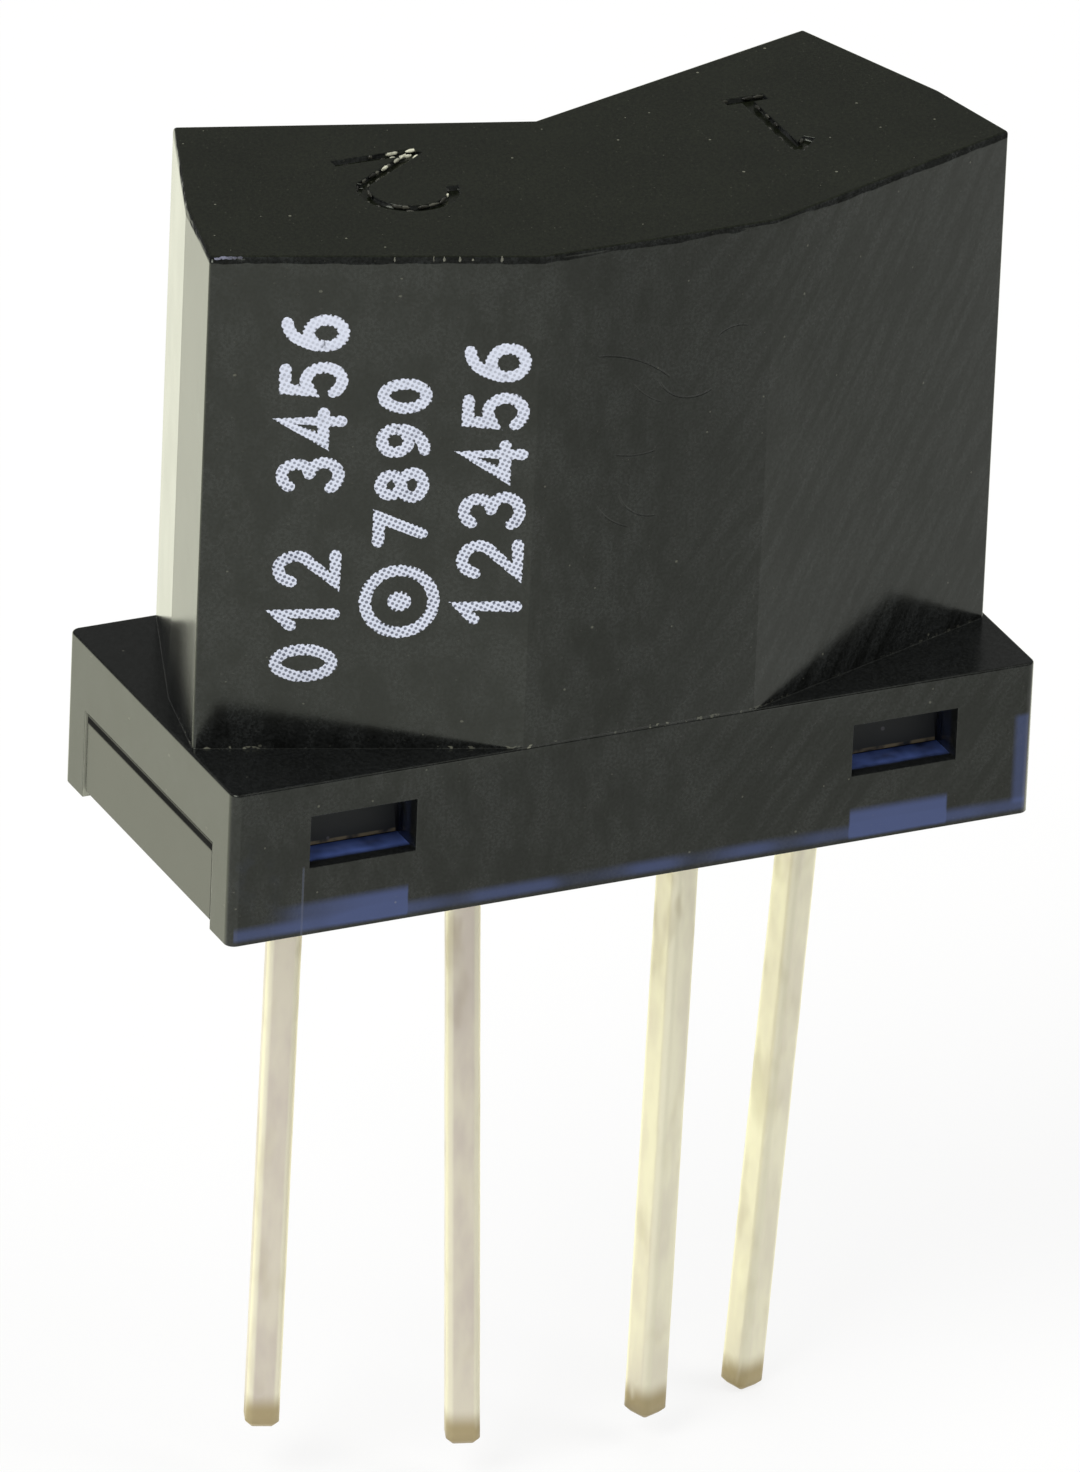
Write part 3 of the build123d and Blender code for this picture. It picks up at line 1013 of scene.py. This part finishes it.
def digit_strokes(digit):
    """The centre lines of a digit, drawn one unit high from the origin, as lists of points."""
    strokes = {
        "0": [arc((0.31, 0.5), (0.31, 0.5), 90, 450)],
        "1": [[(0.10, 0.76), (0.36, 1.0), (0.36, 0.0)]],
        "2": [arc((0.31, 0.70), (0.30, 0.30), 165, -28) + [(0.02, 0.0), (0.62, 0.0)]],
        "3": [arc((0.29, 0.75), (0.27, 0.25), 150, -75), arc((0.29, 0.26), (0.31, 0.26), 80, -150)],
        "4": [[(0.46, 0.0), (0.46, 1.0), (0.0, 0.30), (0.64, 0.30)]],
        "5": [[(0.56, 1.0), (0.12, 1.0), (0.07, 0.56)] + arc((0.30, 0.32), (0.31, 0.32), 125, -145)],
        "6": [arc((0.56, 0.32), (0.55, 0.68), 92, 180), arc((0.31, 0.31), (0.30, 0.31), 180, 540)],
        "7": [[(0.0, 1.0), (0.62, 1.0), (0.22, 0.0)]],
        "8": [arc((0.31, 0.76), (0.25, 0.24), -90, 270), arc((0.31, 0.26), (0.31, 0.26), 90, 450)],
        "9": [arc((0.06, 0.68), (0.55, 0.68), -88, 0), arc((0.31, 0.69), (0.30, 0.31), 0, 360)],
    }
    return strokes[digit]


# How a printed stroke is drawn: how close its ends lie when it is closed, its faces across, how
# far a corner may stick out in half widths, and the angles in degrees of its ends' rows
SAME_POINT = 1e-6
ACROSS_STEPS = 8
LONGEST_MITER = 2.0
ROUND_END_ANGLES = (25.0, 50.0, 70.0, 84.0)


def add_stroke(shape, layer, points, width, thickness, to_face):
    """Adds a domed ribbon with round ends along points, in millimetres on the printed face."""
    line = [Vector(point) for point in points]
    closed = (line[0] - line[-1]).length < SAME_POINT
    if closed:
        line.pop()
    count = len(line)
    rows = []
    for index, point in enumerate(line):
        before = line[index - 1] if closed or index else point
        after = line[(index + 1) % count] if closed or index < count - 1 else point
        to_here = (point - before).normalized() if point != before else (after - point).normalized()
        to_next = (after - point).normalized() if after != point else to_here
        middle = (to_here + to_next).normalized()
        miter = 1.0 / max(middle.dot(to_next), 1.0 / LONGEST_MITER)
        side = Vector((-middle.y, middle.x)) * miter
        rows.append((point, side, 1.0, middle))
    if not closed:
        rows = round_end(rows[0], -1, width)[::-1] + rows + round_end(rows[-1], 1, width)
    rings = []
    for point, side, share, _ in rows:
        ring = []
        for step in range(ACROSS_STEPS + 1):
            across = -math.cos(math.pi * step / ACROSS_STEPS)
            rise = thickness * math.sqrt(max(0.0, 1.0 - across * across)) * math.sqrt(share)
            spot = point + side * (across * share * width / 2)
            vert = shape.verts.new(to_face(spot.x, spot.y, rise))
            vert[layer] = max(abs(across), 1.0 - share)
            ring.append(vert)
        rings.append(ring)
    pairs = list(zip(rings, rings[1:]))
    if closed:
        pairs.append((rings[-1], rings[0]))
    for first, second in pairs:
        for step in range(ACROSS_STEPS):
            shape.faces.new((first[step], second[step], second[step + 1], first[step + 1]))


def round_end(row, sense, width):
    """The rows that close a stroke's end with a half circle."""
    point, side, _, along = row
    rows = []
    for angle in ROUND_END_ANGLES:
        reach = math.sin(math.radians(angle)) * width / 2
        share = math.cos(math.radians(angle))
        rows.append((point + along * (sense * reach), side.normalized(), share, along))
    return rows


# The screened ink: the direction of the screen's rows as its shares along the wing and up,
# the heights between which the ink was pressed more fully, and its refractive index
SCREEN_ROW = (0.94, 0.34)
PRESSED_FADE = (6.4, 10.6)
INK_REFRACTION = 1.45


def ink_material(settings):
    """Screened ink: pale, with the screen's dots open where it was pressed less."""
    material, shader = new_material("screened_ink")
    place = shader.place()
    z = shader.axis(place, "Z")
    across = shader.add("ShaderNodeAttribute", {"attribute_name": "across"}, output="Fac")
    along_wing = shader.turned(place, (0.0, 0.0, -WING_ANGLE))
    u = shader.axis(along_wing, "X")
    pitch = settings.dot_pitch / MM
    turn = 2 * math.pi / (pitch * math.sqrt(2.0))
    first = ((u * SCREEN_ROW[0] + z * SCREEN_ROW[1]) * turn).sine()
    second = ((z * SCREEN_ROW[0] - u * SCREEN_ROW[1]) * turn).sine()
    screen = first * second
    lattice = shader.ramp(screen + shader.cloud(place, 0.08, 1.0) * 0.7, 0.44, 0.74)
    pressed = shader.ramp(z + 1.6 * shader.cloud(place, 1.7, 1.0), *PRESSED_FADE)
    dots = lattice * (1.0 - 0.80 * pressed)
    worn = shader.ramp(shader.cloud(place, 0.28, 3.0), 0.55, 0.75) * 0.16
    opened = (dots * 0.80 + worn).limited()
    ragged = shader.cloud(place, 0.035, 1.0)
    scallop = shader.ramp(screen, -0.4, 0.9) * 0.20
    shader.surface(
        Base_Color=shader.mix(opened, rgba(settings.ink_color), rgba(settings.gap_color)),
        Roughness=0.42 + 0.2 * worn,
        IOR=INK_REFRACTION,
        Alpha=1.0 - shader.ramp(across + ragged * 0.22 + scallop, 0.98, 1.12),
        Normal=shader.bump(ragged * 0.0006 - dots * 0.0008),
    )
    return material


# The three printed lines on the left wing, in millimetres: how far along the wing from the
# middle facet the foot of the digits lies, their height, where the line starts and one digit's
# advance
FIRST_LINE = {"foot": 2.70, "height": 1.00, "start": 3.47, "advance": 0.742}
SECOND_LINE = {"foot": 1.49, "height": 0.80, "start": 5.60, "advance": 0.70}
THIRD_LINE = {"foot": 0.10, "height": 0.98, "start": 4.31, "advance": 0.775}

# The gap between two digits, and how wide a digit of unit height is drawn
DIGIT_GAP = 0.13
DRAWN_WIDTH = 0.62

# The round mark, a ring with a dot, and how far the ink starts off the wall
MARK_CENTER = (1.86, 4.75)
MARK_RADIUS = 0.49
MARK_DOT = 0.34
MARK_DOT_HALF_LENGTH = 0.002
INK_LIFT = 0.001


def housing_mark(shape, name, material):
    """Turns a drawn shape into a smooth piece that rides with the housing."""
    mesh = bpy.data.meshes.new(name)
    shape.to_mesh(mesh)
    shape.free()
    mesh.polygons.foreach_set("use_smooth", [True] * len(mesh.polygons))
    new_piece(name, mesh, material)


class SENSOR_OT_print(bpy.types.Operator):
    """Prints plain numbers on the left wing in screened ink"""

    bl_idname = "sensor.print"
    bl_label = "Print the numbers"

    def execute(self, context):
        settings = context.scene.sensor_print
        material = ink_material(settings)
        stroke = settings.stroke / MM
        thickness = settings.thickness / MM
        outward = Vector((-math.sin(WING_ANGLE), -math.cos(WING_ANGLE), 0.0))
        along = Vector((-math.cos(WING_ANGLE), math.sin(WING_ANGLE), 0.0))
        crease = Vector((-MIDDLE_FACET_HALF, FRONT_Y, 0.0))

        def on_wing(reach, height, rise):
            spot = crease + along * reach + outward * (rise + INK_LIFT)
            return (spot + Vector((0.0, 0.0, height))) * MM

        lines = (
            ("printed_outer_numbers", settings.first_text, FIRST_LINE),
            ("printed_middle_numbers", settings.second_text, SECOND_LINE),
            ("printed_inner_numbers", settings.third_text, THIRD_LINE),
        )
        for name, text, line in lines:
            shape = bmesh.new()
            layer = shape.verts.layers.float.new("across")
            size = line["height"] - stroke
            for index, digit in enumerate(text):
                if digit == " ":
                    continue
                base = line["start"] + index * line["advance"] + stroke / 2
                width = (line["advance"] - DIGIT_GAP - stroke) / DRAWN_WIDTH
                for points in digit_strokes(digit):
                    placed = [
                        (line["foot"] + stroke / 2 + py * size, base + px * width)
                        for px, py in points
                    ]
                    add_stroke(shape, layer, placed, stroke, thickness, on_wing)
            bmesh.ops.recalc_face_normals(shape, faces=shape.faces)
            housing_mark(shape, name, material)

        shape = bmesh.new()
        layer = shape.verts.layers.float.new("across")
        ring = arc(MARK_CENTER, (MARK_RADIUS, MARK_RADIUS), 0, 360, step=8.0)
        add_stroke(shape, layer, ring, stroke, thickness, on_wing)
        middle, height = MARK_CENTER
        spot = [(middle - MARK_DOT_HALF_LENGTH, height), (middle + MARK_DOT_HALF_LENGTH, height)]
        add_stroke(shape, layer, spot, MARK_DOT, thickness, on_wing)
        bmesh.ops.recalc_face_normals(shape, faces=shape.faces)
        housing_mark(shape, "printed_round_mark", material)
        return {"FINISHED"}


# How fine and how deep the dents of a lump are, for a lump one unit across
DENT_GRAIN = 3.1
DENT_DEPTH = 0.55


def add_lump(shape, center, along, size, pale, chance):
    """Adds one irregular lump by its centre, long direction and three sizes in millimetres.

    How pale it is, shown as a painted glint, goes into an attribute on its corners.
    """
    layer = shape.verts.layers.float["glint"]
    lump = bmesh.ops.create_icosphere(shape, subdivisions=2, radius=0.5)["verts"]
    direction = Vector((along[0], along[1], 0.0)).normalized()
    across = Vector((-direction.y, direction.x, 0.0))
    shift = Vector((chance.uniform(0, 50), chance.uniform(0, 50), chance.uniform(0, 50)))
    for vert in lump:
        rough = 1.0 + DENT_DEPTH * noise.noise(vert.co * DENT_GRAIN + shift)
        local = vert.co * rough
        spot = direction * (local.x * size[0]) + across * (local.y * size[1])
        place = Vector(center) + spot + Vector((0.0, 0.0, local.z * size[2]))
        place.z = min(place.z, TOP_Z)
        vert.co = place * MM
        vert[layer] = pale


def new_lumps():
    """An empty shape for lumps, with room for how pale each is."""
    shape = bmesh.new()
    shape.verts.layers.float.new("glint")
    return shape


def stroke_places(points, spacing, chance):
    """Places along a line of points at uneven steps, each with the line's direction there."""
    places = []
    left = chance.uniform(0.2, 1.0) * spacing
    for start, end in zip(points, points[1:]):
        first = Vector(start)
        run = Vector(end) - first
        walked = 0.0
        while walked + left < run.length:
            walked += left
            places.append((first + run.normalized() * walked, run.normalized()))
            left = chance.uniform(0.4, 1.6) * spacing
        left -= run.length - walked
    return places


# The sunk numbers on the top, in millimetres: half their stroke's width, the middle of each
# and its strokes as read from the sensing side
NUMBER_HALF_STROKE = 0.09
TWO_CENTER = (-2.69, 0.075)
TWO_STROKES = [
    arc((0.0, 0.25), (0.65, 0.65), 170, -35),
    [(0.532, -0.123), (-0.65, -0.9)],
    [(-0.65, -0.9), (0.65, -0.9)],
]
ONE_CENTER = (3.15, 0.075)
ONE_STROKES = [
    [(-0.325, 0.575), (0.0, 0.9)],
    [(0.0, 0.9), (0.0, -0.9)],
    [(-0.325, -0.9), (0.325, -0.9)],
]

# The burrs on the sunk numbers' edges: how far they stand in from the edge and below the top
# in millimetres, how often they gather along it, the levels of the gathering noise below
# which the edge is clean and above which a burr may carry a painted glint, each number's
# share of burrs with painted glints, and how much further apart they are on the number one
BURR_INSET = 0.016
BURR_DEPTH = 0.026
BURR_GATHERING = 1.9
BURR_CLEAN = -0.25
BURR_GLINTING = 0.10
TWO_GLINT_SHARE = 0.70
ONE_GLINT_SHARE = 0.25
ONE_SPARSER = 1.6

# The marks on the top's front edge, left wing, in millimetres: where teeth of flash stand
# along X, where the nicked corner starts, how many lumps it has and how far apart they are,
# and how far behind the edge and below the top each kind is centred
FLASH_TEETH_X = (-3.80, -3.28, -3.14, -2.93, -2.76, -2.37)
NICK_START_X = -6.20
NICK_LUMPS = 7
NICK_STEP = 0.055
FLASH_BEHIND = 0.028
FLASH_BELOW = 0.050
NICK_BEHIND = 0.014
NICK_BELOW = 0.032

PLAIN_BURR_COLOR = (0.014, 0.014, 0.011, 1.0)
BURR_REFRACTION = 1.55


def burr_material(name, color):
    """Dark plastic with pale patches where the lump's attribute says: painted glints."""
    material, shader = new_material(name)
    place = shader.place()
    pale = shader.add("ShaderNodeAttribute", {"attribute_name": "glint"}, output="Fac")
    glint = (pale * (0.55 + 0.9 * shader.cloud(place, 0.06, 2.0))).limited()
    shader.surface(
        Base_Color=shader.mix(glint, PLAIN_BURR_COLOR, rgba(color)),
        Roughness=0.28 + 0.2 * glint,
        IOR=BURR_REFRACTION,
        Normal=shader.bump(shader.cloud(place, 0.02, 2.0) * 0.002),
    )
    return material


def number_burrs(center, strokes, spacing, glint_share, seed):
    """Burrs on both edges of a sunk number's strokes, in clusters with clean edge between."""
    chance = random.Random(seed)
    shape = new_lumps()
    for stroke in strokes:
        for spot, heading in stroke_places(stroke, spacing, chance):
            gathered = noise.noise(Vector((spot.x, spot.y, seed)) * BURR_GATHERING)
            if gathered < BURR_CLEAN:
                continue
            side = chance.choice((-1.0, 1.0)) * (NUMBER_HALF_STROKE - BURR_INSET)
            edge = spot + Vector((-heading.y, heading.x)) * side
            # A pale burr is a painted glint.
            glint = gathered > BURR_GLINTING and chance.random() < glint_share
            pale = chance.uniform(0.5, 1.0) if glint else chance.uniform(0.0, 0.10)
            size = (chance.uniform(0.05, 0.20), chance.uniform(0.03, 0.05), 0.06)
            middle = (center[0] - edge.x, center[1] - edge.y, TOP_Z - BURR_DEPTH)
            add_lump(shape, middle, (-heading.x, -heading.y), size, pale, chance)
    return shape


def left_edge_y(x):
    """The top's front edge on the left wing: its Y at a place along X."""
    return FRONT_Y + (-MIDDLE_FACET_HALF - x) * math.tan(WING_ANGLE)


def flash_teeth(chance):
    """Short teeth of flash that cross the top's front edge, pale with a painted glint."""
    shape = new_lumps()
    across_edge = (math.sin(WING_ANGLE), math.cos(WING_ANGLE))
    for x in FLASH_TEETH_X:
        size = (0.09, chance.uniform(0.025, 0.06), chance.uniform(0.05, 0.11))
        middle = (x, left_edge_y(x) + FLASH_BEHIND, TOP_Z - FLASH_BELOW)
        add_lump(shape, middle, across_edge, size, chance.uniform(0.3, 0.9), chance)
    return shape


def nicked_corner(chance):
    """A row of lumps along the edge from the top's left corner, with a painted glint palest at the
    corner.
    """
    shape = new_lumps()
    along_edge = (math.cos(WING_ANGLE), -math.sin(WING_ANGLE))
    for step in range(NICK_LUMPS):
        x = NICK_START_X + step * NICK_STEP + chance.uniform(-0.02, 0.02)
        size = (chance.uniform(0.07, 0.14), 0.035, chance.uniform(0.03, 0.055))
        height = TOP_Z - NICK_BELOW + chance.uniform(-0.012, 0.008)
        middle = (x, left_edge_y(x) + NICK_BEHIND, height)
        add_lump(shape, middle, along_edge, size, 0.9 - 0.11 * step, chance)
    return shape


class SENSOR_OT_burrs(bpy.types.Operator):
    """Adds the burrs in the sunk numbers, the flash on the top's edge and the nicked corner, with painted
    glints on them
    """

    bl_idname = "sensor.burrs"
    bl_label = "Add the moulding marks"

    def execute(self, context):
        settings = context.scene.sensor_burrs
        spacing = settings.spacing / MM
        glint = burr_material("burr_painted_glints", settings.burr_glint_color)
        two = number_burrs(TWO_CENTER, TWO_STROKES, spacing, TWO_GLINT_SHARE, seed=5)
        housing_mark(two, "number_two_burrs", glint)
        sparse = spacing * ONE_SPARSER
        one = number_burrs(ONE_CENTER, ONE_STROKES, sparse, ONE_GLINT_SHARE, seed=9)
        housing_mark(one, "number_one_burrs", glint)
        chance = random.Random(3)
        flash = burr_material("edge_flash_glints", settings.flash_glint_color)
        housing_mark(flash_teeth(chance), "top_edge_flash", flash)
        nick = burr_material("nicked_edge_glint", settings.nick_glint_color)
        housing_mark(nicked_corner(chance), "nicked_corner", nick)
        return {"FINISHED"}


# The camera's sensor in millimetres, and how near and how far it sees in metres
SENSOR_WIDTH = 36.0
CLIP_START = 0.01
CLIP_END = 20.0


def set_camera(settings, scene):
    """The camera at the photograph's viewing angle."""
    heading = Matrix.Rotation(-settings.heading, 4, "Z")
    tilt = Matrix.Rotation(math.pi / 2 - settings.elevation, 4, "X")
    roll = Matrix.Rotation(settings.roll, 4, "Z")
    turn = heading @ tilt @ roll
    data = bpy.data.cameras.new("camera")
    data.sensor_width = SENSOR_WIDTH
    data.lens = settings.lens
    data.clip_start = CLIP_START
    data.clip_end = CLIP_END
    camera = bpy.data.objects.new("camera", data)
    scene.collection.objects.link(camera)
    back = turn @ Vector((0.0, 0.0, 1.0))
    camera.matrix_world = Matrix.Translation(Vector(settings.aim) + back * settings.distance) @ turn
    scene.camera = camera


WHITE = (1.0, 1.0, 1.0, 1.0)

# The upward share of a ray's direction over which the studio darkens to its ceiling
CEILING_FADE = (0.0, 0.10)


def set_world(settings, scene):
    """White for the camera, even light for surfaces, and a darker ceiling for gloss."""
    world = bpy.data.worlds.new("studio")
    scene.world = world
    shader = Shader(world)
    direction = shader.add("ShaderNodeTexCoord", output="Generated")
    height = shader.axis(direction, "Z")
    above = shader.ramp(height, *CEILING_FADE)
    seen = 1.0 - above * (1.0 - settings.ceiling)
    camera = shader.ray("Is Camera Ray")
    mirrored = (shader.ray("Is Glossy Ray") + shader.ray("Is Transmission Ray")).limited()
    plain = (1.0 - camera) * (1.0 - mirrored) * settings.world_light
    strength = camera + (1.0 - camera) * mirrored * seen + plain
    background = shader.add("ShaderNodeBackground", {}, {"Color": WHITE, "Strength": strength})
    shader.add("ShaderNodeOutputWorld", {}, {"Surface": background})


# How bright gloss sees the floor, by its bearing from the part: in front, where it darkens right
# of the middle and is a little brighter again far right, and behind, where it is yellower too
FLOOR_FRONT = 0.87
FLOOR_DARKENING = 0.32
FLOOR_DARKENING_FADE = (-0.2, 0.3)
FLOOR_FAR_RIGHT = 0.13
FLOOR_FAR_RIGHT_FADE = (0.55, 0.85)
FLOOR_BEHIND = 1.50
FLOOR_BEHIND_FADE = (-0.2, 0.5)
FLOOR_BEHIND_TINT = (0.99, 1.0, 0.82, 1.0)
FLOOR_MATTE = (0.86, 0.86, 0.85, 1.0)
FLOOR_HALF_SIZE = 3.0

# The floor's own glow for the camera, and its share against the matte floor that takes shadows
CAMERA_GLOW = 1.03
CAMERA_GLOW_SHARE = 0.76
GLOSSY_GLOW_SHARE = 0.9


def floor_material():
    """Pale matte floor that the camera and glossy faces see as white, with its shadows kept."""
    material, shader = new_material("studio_floor")
    place = shader.place()
    matte = shader.add("ShaderNodeBsdfDiffuse", {}, {"Color": FLOOR_MATTE, "Roughness": 0.3})
    level_place = shader.scaled(place, (1.0, 1.0, 0.0))
    bearing = shader.add("ShaderNodeVectorMath", {"operation": "NORMALIZE"}, {0: level_place})
    rightward = shader.axis(bearing, "X")
    backward = shader.axis(bearing, "Y")
    front = FLOOR_FRONT - FLOOR_DARKENING * shader.ramp(rightward, *FLOOR_DARKENING_FADE)
    front = front + FLOOR_FAR_RIGHT * shader.ramp(rightward, *FLOOR_FAR_RIGHT_FADE)
    behind = shader.ramp(backward, *FLOOR_BEHIND_FADE)
    glossy_level = front * (1.0 - behind) + FLOOR_BEHIND * behind
    camera = shader.ray("Is Camera Ray")
    mirrored = shader.ray("Is Glossy Ray") + shader.ray("Is Transmission Ray")
    level = camera * CAMERA_GLOW + mirrored * glossy_level
    tint = shader.mix(behind * (1.0 - camera), WHITE, FLOOR_BEHIND_TINT)
    glow_color = shader.scaled(tint, shader.joined(level, level, level))
    glow = shader.add("ShaderNodeEmission", {}, {"Color": glow_color, "Strength": 1.0})
    share = (camera * CAMERA_GLOW_SHARE + mirrored * GLOSSY_GLOW_SHARE).limited()
    blend = shader.add("ShaderNodeMixShader", {}, {0: share, 1: matte, 2: glow})
    shader.add("ShaderNodeOutputMaterial", {}, {"Surface": blend})
    return material


# The lamps: name, heading from +Y towards +X and elevation in degrees, distance and size in
# metres, light in watts, and whether gloss shows it
LAMPS = (
    ("lamp_left", -112.0, 48.0, 0.36, 0.22, 0.60, True),
    ("lamp_right", 118.0, 42.0, 0.40, 0.26, 0.50, False),
    ("lamp_back", 12.0, 68.0, 0.42, 0.20, 0.20, False),
)


def add_lamp(scene, name, heading, elevation, distance, size, light, mirrored):
    """A large soft lamp that faces the part, and shows in its gloss or doesn't."""
    data = bpy.data.lights.new(name, "AREA")
    data.shape = "DISK"
    data.size = size
    data.energy = light
    lamp = bpy.data.objects.new(name, data)
    lamp.visible_glossy = mirrored
    scene.collection.objects.link(lamp)
    heading = math.radians(heading)
    elevation = math.radians(elevation)
    flat = math.cos(elevation)
    direction = Vector((math.sin(heading) * flat, math.cos(heading) * flat, math.sin(elevation)))
    turn = direction.to_track_quat("Z", "Y").to_matrix().to_4x4()
    lamp.matrix_world = Matrix.Translation(direction * distance) @ turn


class SENSOR_OT_stage(bpy.types.Operator):
    """Sets up the camera, the pale floor and the soft light"""

    bl_idname = "sensor.stage"
    bl_label = "Set the stage"

    def execute(self, context):
        scene = context.scene
        settings = scene.sensor_stage
        scene.view_settings.view_transform = "Standard"
        set_camera(settings, scene)
        set_world(settings, scene)
        for lamp in LAMPS:
            add_lamp(scene, *lamp)
        shape = bmesh.new()
        bmesh.ops.create_grid(shape, x_segments=1, y_segments=1, size=FLOOR_HALF_SIZE)
        mesh = bpy.data.meshes.new("floor")
        shape.to_mesh(mesh)
        shape.free()
        mesh.transform(Matrix.Translation((0.0, 0.0, FLOOR_Z)))
        mesh.materials.append(floor_material())
        floor = bpy.data.objects.new("floor", mesh)
        scene.collection.objects.link(floor)
        return {"FINISHED"}


class SENSOR_PT_panel(bpy.types.Panel):
    """Lists the sensor's operators and settings"""

    bl_idname = "SENSOR_PT_panel"
    bl_label = "Reflective sensor"
    bl_space_type = "VIEW_3D"
    bl_region_type = "UI"
    bl_category = "Sensor"

    def draw(self, context):
        for operator, group in STEPS:
            box = self.layout.box()
            box.operator(operator.bl_idname)
            settings = getattr(context.scene, group)
            for name in settings.bl_rna.properties.keys():
                if name not in ("rna_type", "name"):
                    box.prop(settings, name)


# The operators in the order that they run, each with the settings that it reads
STEPS = (
    (SENSOR_OT_stage, "sensor_stage"),
    (SENSOR_OT_housing, "sensor_housing"),
    (SENSOR_OT_carrier, "sensor_carrier"),
    (SENSOR_OT_leads, "sensor_leads"),
    (SENSOR_OT_components, "sensor_inside"),
    (SENSOR_OT_print, "sensor_print"),
    (SENSOR_OT_burrs, "sensor_burrs"),
)
GROUPS = {
    "sensor_stage": StageSettings,
    "sensor_housing": HousingSettings,
    "sensor_carrier": CarrierSettings,
    "sensor_leads": LeadSettings,
    "sensor_inside": InsideSettings,
    "sensor_print": PrintSettings,
    "sensor_burrs": BurrSettings,
}


def register():
    """Registers the settings, the operators and the panel."""
    for group in GROUPS.values():
        bpy.utils.register_class(group)
    for operator, _ in STEPS:
        bpy.utils.register_class(operator)
    bpy.utils.register_class(SENSOR_PT_panel)
    for name, group in GROUPS.items():
        setattr(bpy.types.Scene, name, PointerProperty(type=group))


def unregister():
    """Takes back what register added, last first."""
    for name in GROUPS:
        delattr(bpy.types.Scene, name)
    bpy.utils.unregister_class(SENSOR_PT_panel)
    for operator, _ in reversed(STEPS):
        bpy.utils.unregister_class(operator)
    for group in reversed(list(GROUPS.values())):
        bpy.utils.unregister_class(group)


def main():
    """Registers the classes and runs the operators in order."""
    register()
    for operator, _ in STEPS:
        package, name = operator.bl_idname.split(".")
        getattr(getattr(bpy.ops, package), name)()


if __name__ == "__main__":
    main()
